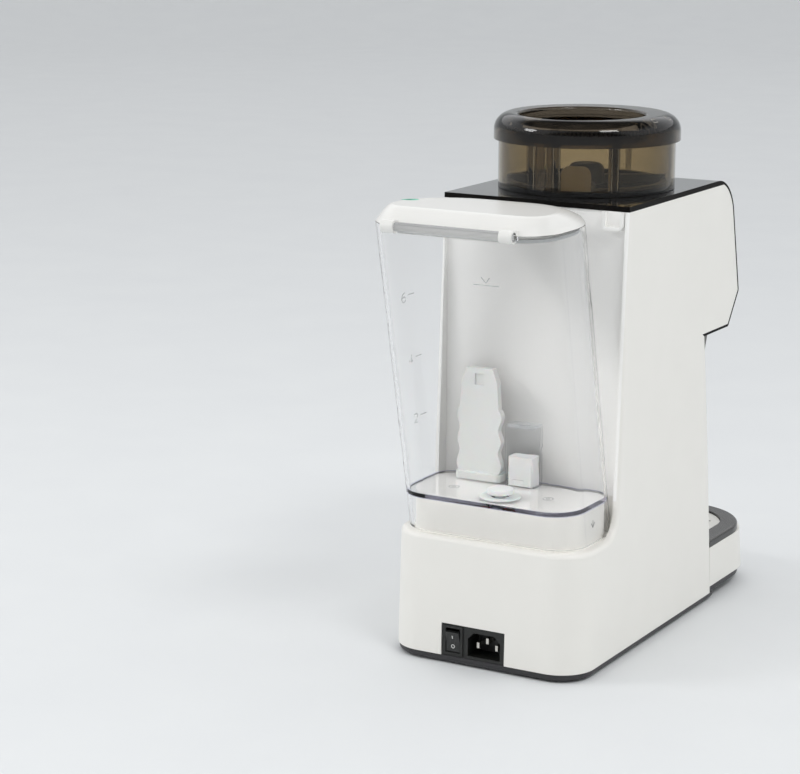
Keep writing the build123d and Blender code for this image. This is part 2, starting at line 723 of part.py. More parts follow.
# ------------------------------------------------------------------- tank lid
lid_foot_z = tank_rim_z + 0.3
plug_inset, plug_wall, plug_depth = 6.0, 2.0, 5.0
lid_side, lid_edge_inset = 2.8, 2.2
lid_low = tank_section(tank_rim_z, 0).moved(Location((0, 0, lid_foot_z - tank_rim_z)))
lid_mid = tank_section(tank_rim_z, lid_edge_inset).moved(
    Location((0, 0, lid_foot_z + lid_side - tank_rim_z))
)
lid_crown_z = lid_foot_z + lid_height
crown_side_inset, crown_near_inset, crown_far_inset = 10.0, 15.0, 50.0
crown_near_r, crown_far_r = 14.0, 30.0
crown_steps, crown_power = 6, 1.6


def between(start, end, share):
    """The value that lies this share of the way from start to end."""
    return start + (end - start) * share


def crown_section(share):
    """Outline of the lid's crown, from its edge at share 0 to its flat middle at share 1."""
    edge_near_r = tank_near_corner_r + tank_near_corner_gain * (tank_rim_z - tank_floor_top_z)
    half = tank_half - between(lid_edge_inset, crown_side_inset, share)
    near = tank_near_y(tank_rim_z) - between(lid_edge_inset, crown_near_inset, share)
    far = tank_far_line(tank_rim_z) + between(lid_edge_inset, crown_far_inset, share)
    rise = (lid_height - lid_side) * (1 - (1 - share) ** crown_power)
    with BuildSketch(Plane.XY.offset(lid_foot_z + lid_side + rise)) as section:
        with Locations((0, (near + far) / 2)):
            Rectangle(2 * half, near - far)
        near_r = between(edge_near_r - lid_edge_inset, crown_near_r, share)
        fillet(section.vertices().group_by(Axis.Y)[-1], near_r)
        far_r = between(tank_far_rim_r - lid_edge_inset, crown_far_r, share)
        fillet(section.vertices().group_by(Axis.Y)[0], far_r)
    return section.sketch


crown_sections = [crown_section(step / crown_steps) for step in range(crown_steps + 1)]
thumb_width, thumb_depth, thumb_floor = 44.0, 13.0, 1.6
lid_far_y = tank_far_line(tank_rim_z)
plug_outer = tank_section(tank_rim_z, plug_inset)
plug_inner = tank_section(tank_rim_z, plug_inset + plug_wall)
with BuildPart() as lid_top:
    loft([lid_low, lid_mid], ruled=True)
with BuildPart() as lid_crown:
    loft(crown_sections, ruled=True)
with BuildPart() as tank_lid:
    add(lid_top.part)
    add(lid_crown.part)
    slab(
        -thumb_width / 2, thumb_width / 2, lid_far_y - 1, lid_far_y + thumb_depth,
        lid_foot_z + thumb_floor, lid_crown_z + 1, mode=Mode.SUBTRACT,
    )
    post(0, lid_far_y + thumb_depth / 2, lid_foot_z, lid_foot_z + thumb_floor + 1, 3.6)
    extrude(plug_outer, amount=lid_foot_z - tank_rim_z + 1)
    extrude(plug_outer, amount=-plug_depth)
    extrude(plug_inner, amount=-plug_depth, mode=Mode.SUBTRACT)
    rod(-hinge_half - sliding_fit, hinge_half + sliding_fit, hinge_r + sliding_fit, Mode.SUBTRACT)
    clip_bore = hinge_r + running_fit
    clip_outer = hinge_r + clip_wall
    for side in (-1, 1):
        clip_low_x = side * clip_x - clip_width / 2
        slab(
            clip_low_x, clip_low_x + clip_width, hinge_y - clip_outer - 3, hinge_y + 1,
            lid_foot_z, lid_foot_z + 3.4,
        )
        rod(clip_low_x, clip_low_x + clip_width, clip_outer)
        rod(clip_low_x, clip_low_x + clip_width, clip_bore, mode=Mode.SUBTRACT)
        slab(
            clip_low_x, clip_low_x + clip_width, hinge_y - clip_outer - 0.1, hinge_y - 1.6,
            hinge_z - clip_outer - 1, lid_foot_z, mode=Mode.SUBTRACT,
        )
finish(tank_lid, "tank_lid")

gasket_drop, gasket_height = 4.2, 2.0
gasket_inset = tank_wall + gasket_drop * tank_near_lean + sliding_fit
gasket_move = Location((0, 0, -gasket_drop))
gasket_outer = tank_section(tank_rim_z, gasket_inset).moved(gasket_move)
gasket_inner = plug_outer.moved(gasket_move)
with BuildPart() as tank_lid_seal:
    extrude(gasket_outer, amount=gasket_height)
    extrude(gasket_inner, amount=gasket_height, mode=Mode.SUBTRACT)
finish(tank_lid_seal, "tank_lid_seal")

# ----------------------------------------------------------------- tank valve
guide_top_z = tank_floor_top_z + guide_thickness
cap_z = guide_top_z + valve_travel + 0.2
with BuildPart() as valve_guide:
    post(valve_x, valve_y, tank_floor_top_z, guide_top_z, guide_r)
    post(valve_x, valve_y, tank_floor_top_z, guide_top_z, spout_bore_r, mode=Mode.SUBTRACT)
    slab(
        valve_x - spout_bore_r, valve_x + spout_bore_r, valve_y - 1, valve_y + 1,
        tank_floor_top_z, guide_top_z,
    )
    post(valve_x, valve_y, tank_floor_top_z - 1.5, guide_top_z, stem_r + 1.2)
    post(valve_x, valve_y, tank_floor_top_z - 2, guide_top_z + 1, stem_r + running_fit, Mode.SUBTRACT)
finish(valve_guide, "valve_guide")

collar_height, collar_flange_r = 1.4, 4.4
with BuildPart() as valve_poppet:
    post(valve_x, valve_y, cap_z, cap_z + cap_height, cap_r)
    fillet(valve_poppet.faces().sort_by(Axis.Z)[-1].edges(), 0.8)
    post(valve_x, valve_y, stem_foot_z, cap_z, stem_r)
    post(valve_x, valve_y, stem_foot_z, stem_foot_z + collar_height, collar_flange_r)
finish(valve_poppet, "valve_poppet")

spring_low_z, spring_high_z = stem_foot_z + collar_height, tank_floor_top_z - 1.5
wire_r, spring_r = 0.4, 3.4
with BuildPart() as valve_spring:
    with BuildLine(Plane.XY.offset(spring_low_z + wire_r)) as coil:
        Helix(
            pitch=(spring_high_z - spring_low_z - 2 * wire_r) / 4,
            height=spring_high_z - spring_low_z - 2 * wire_r,
            radius=spring_r,
        )
    with BuildSketch(Plane(origin=coil.line @ 0, z_dir=coil.line % 0)):
        Circle(wire_r)
    sweep(path=coil.line)
with BuildPart() as seated_spring:
    add(valve_spring.part.moved(Location((valve_x, valve_y, 0))))
finish(seated_spring, "valve_spring")

# ----------------------------------------------------- float cage, float, magnet
cage_top_z = tank_floor_top_z + cage_height
with BuildPart() as float_cage:
    with BuildSketch(Plane.XY.offset(tank_floor_top_z)):
        with Locations((float_x, float_y)):
            RectangleRounded(cage_width, cage_depth, cage_corner_r)
    extrude(amount=cage_height)
    with BuildSketch(Plane.XY.offset(tank_floor_top_z)):
        with Locations((float_x, float_y)):
            RectangleRounded(
                cage_width - 2 * cage_wall, cage_depth - 2 * cage_wall, cage_corner_r - cage_wall
            )
    extrude(amount=cage_height - cage_wall, mode=Mode.SUBTRACT)
    post(float_x, float_y, cage_top_z - 2 * cage_wall, cage_top_z + 1, 3, mode=Mode.SUBTRACT)
    slab(
        float_x - 4, float_x + 4, float_y, float_y + cage_depth,
        tank_floor_top_z, tank_floor_top_z + 5, mode=Mode.SUBTRACT,
    )
finish(float_cage, "float_cage")

float_gap = 0.8
float_foot_z = tank_floor_top_z + sliding_fit
magnet_r, magnet_height = 3.0, 3.0
with BuildPart() as float_block:
    with BuildSketch(Plane.XY.offset(float_foot_z)):
        with Locations((float_x, float_y)):
            RectangleRounded(
                cage_width - 2 * (cage_wall + float_gap), cage_depth - 2 * (cage_wall + float_gap),
                cage_corner_r - cage_wall - float_gap,
            )
    extrude(amount=float_height)
    post(float_x, float_y, float_foot_z, float_foot_z + magnet_height, magnet_r, Mode.SUBTRACT)
finish(float_block, "float_block")

with BuildPart() as float_magnet:
    post(float_x, float_y, float_foot_z, float_foot_z + magnet_height, magnet_r)
finish(float_magnet, "float_magnet")

# ------------------------------------------------------------ filter cartridge
scallops, scallop_depth, scallop_share = 3, 2.2, 0.62
shoulder_drop, shoulder_cut = 9.0, 3.5
filter_low_z = tank_floor_top_z + filter_foot_height
filter_top_z = tank_floor_top_z + filter_height
waist_half, shoulder_half = 14.8, 13.6


def scalloped_edge(side):
    """Points up one wavy edge of the cartridge: bulges below, a plain shoulder above."""
    wave_z = (filter_top_z - filter_low_z) * scallop_share
    points = []
    for step in range(2 * scallops + 1):
        half = waist_half + (scallop_depth if step % 2 else 0)
        points.append((filter_x + side * half, filter_low_z + wave_z * step / (2 * scallops)))
    return points


with BuildPart() as filter_cartridge:
    with BuildSketch(Plane.XY.offset(tank_floor_top_z)):
        with Locations((filter_x, filter_y)):
            RectangleRounded(filter_foot_width, filter_foot_depth, 4)
    extrude(amount=filter_foot_height)
    with BuildSketch(Plane.XZ.offset(-(filter_y + 1.5))):
        with BuildLine():
            right, left = scalloped_edge(1), scalloped_edge(-1)
            Spline(*right)
            Polyline(
                right[-1], (filter_x + shoulder_half, filter_top_z - shoulder_drop),
                (filter_x + shoulder_half - shoulder_cut, filter_top_z),
                (filter_x - shoulder_half + shoulder_cut, filter_top_z),
                (filter_x - shoulder_half, filter_top_z - shoulder_drop), left[-1],
            )
            Spline(*reversed(left))
            Line(left[0], right[0])
        make_face()
    extrude(amount=filter_thickness / 2, both=True)
    slab(
        filter_x - 3.5, filter_x + 3.5, filter_y + 3, filter_y + 8,
        filter_top_z - 12, filter_top_z - 4, mode=Mode.SUBTRACT,
    )
finish(filter_cartridge, "filter_cartridge")

# ------------------------------------------------------------ hopper container
hopper_foot_z = panel_top_z + hopper_lift_gap
hopper_floor = 2.4
hopper_floor_z = hopper_foot_z + hopper_floor
hub_bore_r = spindle_r + 1.0
rib_r = 2.4
rib_angles = (77, 96, 134.5, 205, 265, 325)
with BuildPart() as hopper_container:
    post(0, hopper_y, hopper_foot_z, hopper_rim_z, hopper_r)
    post(0, hopper_y, hopper_floor_z, hopper_rim_z + 1, hopper_r - hopper_wall, Mode.SUBTRACT)
    with BuildSketch(Plane.XY.offset(hopper_floor_z)):
        with Locations((0, hopper_y)):
            for rib_angle in rib_angles:
                with PolarLocations(hopper_r - hopper_wall, 1, start_angle=rib_angle):
                    Circle(rib_r)
            Circle(hopper_r, mode=Mode.INTERSECT)
    extrude(amount=hopper_rim_z - hopper_floor_z - 4)
    post(0, hopper_y, hopper_foot_z - 1, hopper_floor_z + 1, hub_bore_r, mode=Mode.SUBTRACT)
    post(0, outlet_y, hopper_foot_z - 1, hopper_floor_z + 1, outlet_r, mode=Mode.SUBTRACT)
finish(hopper_container, "hopper_container")

# ----------------------------------------------------------------- hopper lid
lid_wall = 2.4
lid_bore_r = hopper_r + sliding_fit
seal_low_z, lid_seal_height = hopper_rim_z + 0.2, 2.4
with BuildPart() as hopper_lid:
    post(0, hopper_y, lid_rim_z, lid_top_z, lid_r)
    fillet(hopper_lid.faces().sort_by(Axis.Z)[-1].edges(), lid_round)
    post(0, hopper_y, lid_rim_z - 1, seal_low_z + lid_seal_height, lid_bore_r, mode=Mode.SUBTRACT)
    post(0, dish_y, lid_rim_z + 1.2, lid_top_z - 1, dish_r + lid_wall)
    post(0, dish_y, lid_top_z - dish_depth, lid_top_z + 1, dish_r, mode=Mode.SUBTRACT)
    crest = [
        edge for edge in hopper_lid.edges()
        if edge.center().Z > lid_top_z - 0.1 and abs(edge.radius - dish_r) < 0.01
    ]
    fillet(crest, 2.0)
finish(hopper_lid, "hopper_lid")

with BuildPart() as lid_seal:
    post(0, hopper_y, seal_low_z, seal_low_z + lid_seal_height, lid_bore_r)
    post(0, hopper_y, seal_low_z - 1, lid_top_z, hopper_r - hopper_wall, mode=Mode.SUBTRACT)
finish(lid_seal, "lid_seal")

# ---------------------------------------------------------------- mixing wheel
wheel_foot_z = hopper_floor_z + sliding_fit
hub_r, hub_height, arm_reach, arm_height = 12.5, 13.5, 54.0, 5.5
socket_top_z = hopper_foot_z + 12.4
with BuildPart() as mixing_wheel:
    post(0, hopper_y, wheel_foot_z, wheel_foot_z + hub_height, hub_r)
    fillet(mixing_wheel.faces().sort_by(Axis.Z)[-1].edges(), 5)
    with BuildSketch(Plane.XY.offset(wheel_foot_z)):
        with Locations((0, hopper_y)):
            with PolarLocations(0, 4, start_angle=30):
                with Locations(((hub_r + arm_reach) / 2 - 1, 0)):
                    Rectangle(arm_reach - hub_r + 4, 4.5)
    extrude(amount=arm_height)
    with BuildSketch(Plane.XY.offset(wheel_foot_z)):
        with Locations((0, hopper_y)):
            Circle(arm_reach + 1.5)
            Circle(arm_reach - 2.5, mode=Mode.SUBTRACT)
    extrude(amount=2.5)
    with BuildSketch(Plane.XY.offset(wheel_foot_z)):
        with Locations((0, hopper_y)):
            RegularPolygon((spindle_hex + 0.2) / 2, 6, major_radius=False)
    extrude(amount=socket_top_z - wheel_foot_z, mode=Mode.SUBTRACT)
finish(mixing_wheel, "mixing_wheel")

# ------------------------------------------------------- drive under the panel
wheel_pitch_r = gear_module * wheel_teeth / 2
pinion_pitch_r = gear_module * pinion_teeth / 2
pinion_x = wheel_pitch_r + pinion_pitch_r + 0.15


def gear_points(teeth, centre_x, phase):
    """Corners of a gear's outline: each tooth is a trapezium from root to tip."""
    root_r = gear_module * (teeth / 2 - 1.25)
    tip_r = gear_module * (teeth / 2 + 0.9)
    pitch = 360 / teeth
    points = []
    for tooth in range(teeth):
        for share, radius in ((-0.30, root_r), (-0.11, tip_r), (0.11, tip_r), (0.30, root_r)):
            angle = radians(phase + pitch * (tooth + share))
            points.append((centre_x + radius * cos(angle), hopper_y + radius * sin(angle)))
    return points


with BuildPart() as drive_gear:
    with BuildSketch(Plane.XY.offset(gear_z)):
        with BuildLine():
            Polyline(*gear_points(wheel_teeth, 0, 0), close=True)
        make_face()
        with Locations((0, hopper_y)):
            Circle(spindle_r, mode=Mode.SUBTRACT)
    extrude(amount=gear_width)
finish(drive_gear, "drive_gear")

hex_foot_z = hopper_foot_z - 0.5
spindle_top_z = socket_top_z - 0.4
with BuildPart() as drive_spindle:
    post(0, hopper_y, plate_z - 6, hex_foot_z, spindle_r)
    with BuildSketch(Plane.XY.offset(hex_foot_z)):
        with Locations((0, hopper_y)):
            RegularPolygon(spindle_hex / 2, 6, major_radius=False)
    extrude(amount=spindle_top_z - hex_foot_z)
finish(drive_spindle, "drive_spindle")

motor_shaft_r = 2.0
with BuildPart() as motor_pinion:
    with BuildSketch(Plane.XY.offset(gear_z)):
        with BuildLine():
            Polyline(*gear_points(pinion_teeth, pinion_x, 180 / pinion_teeth), close=True)
        make_face()
    extrude(amount=gear_width)
    post(pinion_x, hopper_y, plate_z - 4, gear_z, motor_shaft_r)
finish(motor_pinion, "motor_pinion")

bush_r, bush_flange_r, bush_flange = spindle_r + 2.5, spindle_r + 5, 1.6
plate_half = half_width(plate_z) - body_wall - 0.2
plate_front_y, plate_rear_y = hopper_y - 32, back_wall_y - body_wall - 0.2
screw_offset = 9.0
with BuildPart() as gear_plate:
    slab(-plate_half, plate_half, plate_front_y, plate_rear_y, plate_z, plate_z + plate_thickness)
    post(0, hopper_y, plate_z - 1, plate_z + plate_thickness + 1, bush_r, mode=Mode.SUBTRACT)
    post(pinion_x, hopper_y, plate_z - 1, plate_z + plate_thickness + 1, 5, mode=Mode.SUBTRACT)
    for side in (-1, 1):
        post(
            pinion_x, hopper_y + side * screw_offset, plate_z - 1,
            plate_z + plate_thickness + 1, screw_r + seam_fit, mode=Mode.SUBTRACT,
        )
    slab(-40, -16, -12, 45, plate_z - 1, plate_z + plate_thickness + 1, mode=Mode.SUBTRACT)
finish(gear_plate, "gear_plate")

with BuildPart() as spindle_bush:
    post(0, hopper_y, plate_z - 3, plate_z + plate_thickness, bush_r)
    post(
        0, hopper_y, plate_z + plate_thickness,
        plate_z + plate_thickness + bush_flange, bush_flange_r,
    )
    post(0, hopper_y, plate_z - 4, gear_z, spindle_r + running_fit, mode=Mode.SUBTRACT)
finish(spindle_bush, "spindle_bush")

with BuildPart() as spindle_collar:
    post(0, hopper_y, panel_z, panel_top_z, collar_r)
    post(0, hopper_y, panel_z - 1, panel_top_z + 1, spindle_r + running_fit, mode=Mode.SUBTRACT)
finish(spindle_collar, "spindle_collar")

with BuildPart() as gear_motor:
    post(pinion_x, hopper_y, plate_z - motor_length, plate_z, motor_r)
    fillet(gear_motor.faces().sort_by(Axis.Z)[0].edges(), 2)
    post(pinion_x, hopper_y, plate_z - 6, plate_z + 1, motor_shaft_r + 1, mode=Mode.SUBTRACT)
    for side in (-1, 1):
        post(
            pinion_x, hopper_y + side * screw_offset, plate_z - 6, plate_z + 1,
            screw_r, mode=Mode.SUBTRACT,
        )
finish(gear_motor, "gear_motor")

with BuildPart() as motor_screws:
    for side in (-1, 1):
        screw_y = hopper_y + side * screw_offset
        post(pinion_x, screw_y, plate_z - 5, plate_z + plate_thickness, screw_r)
        post(
            pinion_x, screw_y, plate_z + plate_thickness,
            plate_z + plate_thickness + screw_head_height, screw_head_r - 0.4,
        )
finish(motor_screws, "motor_screws")

# ---------------------------------------------------------------- powder chute
chute_wall = 1.6
chute_foot_y, chute_foot_r = -90.0, 9.0
block_top_plate = 2.2
chute_foot_z = head_floor_z - block_top_plate
chute_rings = []
for shrink in (0, chute_wall):
    rings = []
    for ring_z, ring_y, ring_r in (
        (panel_z, outlet_y, outlet_r + 2),
        (chute_foot_z, chute_foot_y, chute_foot_r + chute_wall),
    ):
        with BuildSketch(Plane.XY.offset(ring_z)) as ring:
            with Locations((0, ring_y)):
                Circle(ring_r - shrink)
        rings.append(ring.sketch)
    chute_rings.append(rings)
with BuildPart() as chute_bore:
    loft(chute_rings[1], ruled=True)
with BuildPart() as powder_chute:
    loft(chute_rings[0], ruled=True)
    add(chute_bore.part, mode=Mode.SUBTRACT)
finish(powder_chute, "powder_chute")

# ------------------------------------------------------------ dispensing block
block_foot_z = head_floor_z - block_height
block_rear_y = column_head_y - 3.0
groove_z, groove_height, groove_depth = head_floor_z - 15.0, 4.0, 3.7
block_sections = []
for level_z in (head_floor_z, block_foot_z):
    shrink = (head_floor_z - level_z) * tan(radians(block_draft))
    level_front_y = block_front_y + shrink
    level_rear_y = column_front_y(level_z) - column_bow - seam_fit
    with BuildSketch(Plane.XY.offset(level_z)) as level:
        with Locations((0, (level_front_y + level_rear_y) / 2)):
            Rectangle(2 * (block_half - shrink), level_rear_y - level_front_y)
        fillet(level.vertices().group_by(Axis.Y)[0], block_corner_r)
    block_sections.append(level.sketch)

with BuildPart() as dispense_block:
    loft(block_sections, ruled=True)
    slab(
        -drawer_half, drawer_half, block_front_y - 10, drawer_rear_y,
        block_foot_z - 1, chute_foot_z, mode=Mode.SUBTRACT,
    )
    slab(
        -drawer_half - groove_depth, drawer_half + groove_depth, block_front_y - 10, drawer_rear_y,
        groove_z, groove_z + groove_height, mode=Mode.SUBTRACT,
    )
    post(0, chute_foot_y, chute_foot_z - 1, head_floor_z + 1, chute_foot_r + chute_wall + 1.2, Mode.SUBTRACT)
    post(nozzle_x, nozzle_y, chute_foot_z - 1, head_floor_z + 1, 4.0, mode=Mode.SUBTRACT)
finish(dispense_block, "dispense_block")

# --------------------------------------------------------------------- funnel
funnel_gap = sliding_fit
mouth_y, mouth_half_x, mouth_half_y = -94.0, 37.0, 14.0
throat_y, throat_r, throat_z = -98.0, 11.0, 160.0
funnel_wall = 1.6
flange_low_z = groove_z + funnel_gap
flange_high_z = groove_z + groove_height - funnel_gap
grip_thickness = 3.0
cone_parts = []
for shrink in (0, funnel_wall):
    with BuildSketch(Plane.XY.offset(flange_high_z)) as mouth:
        with Locations((0, mouth_y)):
            Ellipse(mouth_half_x - shrink, mouth_half_y - shrink)
    with BuildSketch(Plane.XY.offset(throat_z)) as throat:
        with Locations((0, throat_y)):
            Ellipse(throat_r - shrink, throat_r - shrink - 0.01)
    with BuildPart() as cone:
        loft([mouth.sketch, throat.sketch], ruled=True)
    cone_parts.append(cone.part)
with BuildPart() as funnel:
    slab(
        -drawer_half - groove_depth + funnel_gap, drawer_half + groove_depth - funnel_gap,
        block_front_y, drawer_rear_y - 1, flange_low_z, flange_high_z,
    )
    slab(
        -drawer_half + funnel_gap, drawer_half - funnel_gap,
        block_front_y, drawer_rear_y - 2, flange_low_z, flange_high_z + 3,
    )
    slab(
        -drawer_half + 3, drawer_half - 3,
        block_front_y + 3, drawer_rear_y - 5, flange_high_z, flange_high_z + 5, mode=Mode.SUBTRACT,
    )
    add(cone_parts[0])
    add(cone_parts[1], mode=Mode.SUBTRACT)
    slab(
        -drawer_half + 4, drawer_half - 4, block_front_y - grip_thickness, block_front_y,
        flange_low_z - 5, chute_foot_z - 2,
    )
finish(funnel, "funnel")

# -------------------------------------------------------------- water circuit
hose_r = 4.5
barb_r = 2.5
pump_x, pump_y0, pump_y1, pump_r = body_width / 2 - 31.15, 22.0, 84.0, 16.0
pump_z = pan_floor_z + 5 + pump_r
heater_half, heater_y0, heater_y1, heater_z0, heater_z1 = 30.0, 22.0, 46.0, 118.0, 218.0
heater_y = (heater_y0 + heater_y1) / 2
heater_port_x = 20.0


def hose(points, radius, bend_r):
    """A round hose along straight runs joined by arcs."""
    with BuildPart() as tube:
        with BuildLine() as route:
            FilletPolyline(*points, radius=bend_r)
        with BuildSketch(Plane(origin=points[0], z_dir=Vector(*points[1]) - Vector(*points[0]))):
            Circle(radius)
        sweep(path=route.line)
    return tube


hose_drop_z = 54.0
inlet_route = [
    (valve_x, valve_y, nipple_foot_z),
    (valve_x, valve_y, hose_drop_z),
    (pump_x, valve_y, hose_drop_z),
    (pump_x, valve_y, pump_z),
    (pump_x, pump_y1 + 4, pump_z),
]
inlet_hose = hose(inlet_route, hose_r, 11.0)
finish(inlet_hose, "inlet_hose")

with BuildPart() as water_pump:
    with BuildSketch(Plane.XZ.offset(-pump_y0)):
        with Locations((pump_x, pump_z)):
            Circle(pump_r)
    extrude(amount=-(pump_y1 - pump_y0))
    with BuildSketch(Plane.XZ.offset(-pump_y1)):
        with Locations((pump_x, pump_z)):
            Circle(hose_r)
    extrude(amount=-4)
    with BuildSketch(Plane.XZ.offset(-pump_y0)):
        with Locations((pump_x, pump_z)):
            Circle(hose_r)
    extrude(amount=4)
finish(water_pump, "water_pump")

with BuildPart() as pump_cradle:
    for rib_y in (pump_y0 + 6, pump_y1 - 14):
        slab(pump_x - 14, pump_x + 14, rib_y, rib_y + 8, pan_floor_z, pump_z - 6)
    slab(pump_x - 14, pump_x + 14, pump_y0 + 6, pump_y1 - 6, pan_floor_z, pan_floor_z + 2)
    with BuildSketch(Plane.XZ.offset(-pump_y0)):
        with Locations((pump_x, pump_z)):
            Circle(pump_r + seam_fit)
    extrude(amount=-(pump_y1 - pump_y0), mode=Mode.SUBTRACT)
finish(pump_cradle, "pump_cradle")

with BuildPart() as heater_block:
    slab(-heater_half, heater_half, heater_y0, heater_y1, heater_z0, heater_z1)
    fillet(heater_block.edges().filter_by(Axis.Z), 4)
    post(heater_port_x, heater_y, heater_z0 - 5, heater_z0, hose_r)
    post(-heater_port_x, heater_y, heater_z1, heater_z1 + 5, hose_r)
finish(heater_block, "heater_block")

with BuildPart() as heater_bracket:
    wall_face_y = back_wall_y - body_wall
    slab(-36, 36, heater_y1, heater_y1 + 2, heater_z0 + 8, heater_z1 - 8)
    for post_z in (heater_z0 + 20, heater_z1 - 20):
        slab(-8, 8, heater_y1 + 2, wall_face_y - 0.2, post_z - 6, post_z + 6)
finish(heater_bracket, "heater_bracket")

pump_route = [
    (pump_x, pump_y0 - 4, pump_z),
    (pump_x, -6, pump_z),
    (pump_x, -6, 92),
    (heater_port_x, heater_y, 92),
    (heater_port_x, heater_y, heater_z0 - 5),
]
pump_hose = hose(pump_route, hose_r, 11.0)
finish(pump_hose, "pump_hose")

nozzle_r, nozzle_tip_z, nozzle_top_z = 3.8, 194.5, 215.0
high_run_z = 245.0
outlet_route = [
    (-heater_port_x, heater_y, heater_z1 + 5),
    (-heater_port_x, heater_y, high_run_z),
    (nozzle_x, nozzle_y, high_run_z),
    (nozzle_x, nozzle_y, nozzle_top_z),
]
outlet_hose = hose(outlet_route, hose_r, 11.0)
finish(outlet_hose, "outlet_hose")

with BuildPart() as water_nozzle:
    post(nozzle_x, nozzle_y, nozzle_tip_z, nozzle_top_z, nozzle_r)
    post(nozzle_x, nozzle_y, head_floor_z, head_floor_z + 3, nozzle_r + 3)
    post(nozzle_x, nozzle_y, nozzle_tip_z - 1, nozzle_top_z - 1, 1.6, mode=Mode.SUBTRACT)
finish(water_nozzle, "water_nozzle")

# ----------------------------------------------------------------- power board
board_low_x, board_high_x, board_low_y, board_high_y = -62.0, -18.0, -52.0, 60.0
board_z = pan_floor_z + 7
part_edge = 6.0
supply_y, supply_depth, supply_height = 10.0, 34.0, 26.0
relay_y, relay_depth, relay_height = -36.0, 22.0, 16.0
capacitor_r, capacitor_height = 7.0, 22.0
with BuildPart() as power_board:
    slab(board_low_x, board_high_x, board_low_y, board_high_y, board_z, board_z + board_thickness)
    for corner_x in (board_low_x + 5, board_high_x - 5):
        for corner_y in (board_low_y + 5, board_high_y - 5):
            post(corner_x, corner_y, pan_floor_z, board_z, 2.5)
    slab(
        board_low_x + part_edge, board_high_x - part_edge, supply_y, supply_y + supply_depth,
        board_z + board_thickness, board_z + supply_height,
    )
    slab(
        board_low_x + part_edge, board_high_x - part_edge - 4, relay_y, relay_y + relay_depth,
        board_z + board_thickness, board_z + relay_height,
    )
    post(
        (board_low_x + board_high_x) / 2, (relay_y + relay_depth + supply_y) / 2,
        board_z + board_thickness, board_z + capacitor_height, capacitor_r,
    )
finish(power_board, "power_board")

# ------------------------------------------------- rear inlet, pins and rocker
inlet_depth, recess_depth, rocker_depth = 27.0, 16.0, 12.0
rocker_width, rocker_height = 10.4, 16.4
inlet_low_z = skirt_z + seam_fit
inlet_face_y = rear_y(inlet_top_z) - 0.3
socket_wall_t = 2.0
with BuildSketch(Plane.XZ.offset(-inlet_face_y)) as recess_face:
    with Locations((socket_x, socket_z)):
        Rectangle(socket_width, socket_height)
    chamfer(recess_face.vertices().group_by(Axis.Y)[-1], socket_chamfer)

with BuildPart() as inlet_module:
    slab(
        inlet_low_x + seam_fit, inlet_high_x - seam_fit, inlet_face_y - 3, inlet_face_y,
        inlet_low_z, inlet_top_z - seam_fit,
    )
    slab(
        inlet_low_x + 1.5, inlet_high_x - 1.5, inlet_face_y - inlet_depth, inlet_face_y - 3,
        inlet_low_z + 0.8, inlet_top_z - 1.0,
    )
    slab(
        rocker_x - bezel_width / 2, rocker_x + bezel_width / 2, inlet_face_y, inlet_face_y + 0.9,
        rocker_z - bezel_height / 2, rocker_z + bezel_height / 2,
    )
    extrude(recess_face.sketch, amount=recess_depth, mode=Mode.SUBTRACT)
    slab(
        rocker_x - rocker_width / 2 - sliding_fit, rocker_x + rocker_width / 2 + sliding_fit,
        inlet_face_y - rocker_depth, inlet_face_y + 2,
        rocker_z - rocker_height / 2 - sliding_fit, rocker_z + rocker_height / 2 + sliding_fit,
        mode=Mode.SUBTRACT,
    )
finish(inlet_module, "inlet_module")

pin_width, pin_height, pin_reach = 2.0, 4.0, 11.0
with BuildPart() as inlet_pins:
    for pin_x, pin_z in (
        (socket_x - 7, socket_z - 1.5), (socket_x, socket_z + 2.5), (socket_x + 7, socket_z - 1.5)
    ):
        slab(
            pin_x - pin_width / 2, pin_x + pin_width / 2,
            inlet_face_y - recess_depth, inlet_face_y - recess_depth + pin_reach,
            pin_z - pin_height / 2, pin_z + pin_height / 2,
        )
finish(inlet_pins, "inlet_pins")

rocker_pivot_y = inlet_face_y - 4.5
rocker_tilt = 9.0       # degrees either way from level
rocker_half, rocker_crest, rocker_waist = 7.2, 6.0, 5.0
rocker_place = Location((rocker_x, rocker_pivot_y, rocker_z)) * Location((0, 0, 0), (-rocker_tilt, 0, 0))
with BuildSketch(Plane.YZ) as rocker_side:
    with BuildLine():
        Polyline(
            (-3.5, -2.5), (rocker_crest - 3, -rocker_half), (rocker_crest, -rocker_half),
            (rocker_waist, 0), (rocker_crest, rocker_half), (rocker_crest - 3, rocker_half),
            (-3.5, 2.5), close=True,
        )
    make_face()
with BuildPart() as level_rocker:
    extrude(rocker_side.sketch, amount=rocker_width / 2, both=True)
with BuildPart() as rocker:
    add(level_rocker.part.moved(rocker_place))
finish(rocker, "rocker")

print("overall front", base_front_y, "rear", hinge_y + hinge_r + clip_wall)
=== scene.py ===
from math import cos, pi, radians, sin

import bpy
import numpy as np
from mathutils import Matrix, Vector


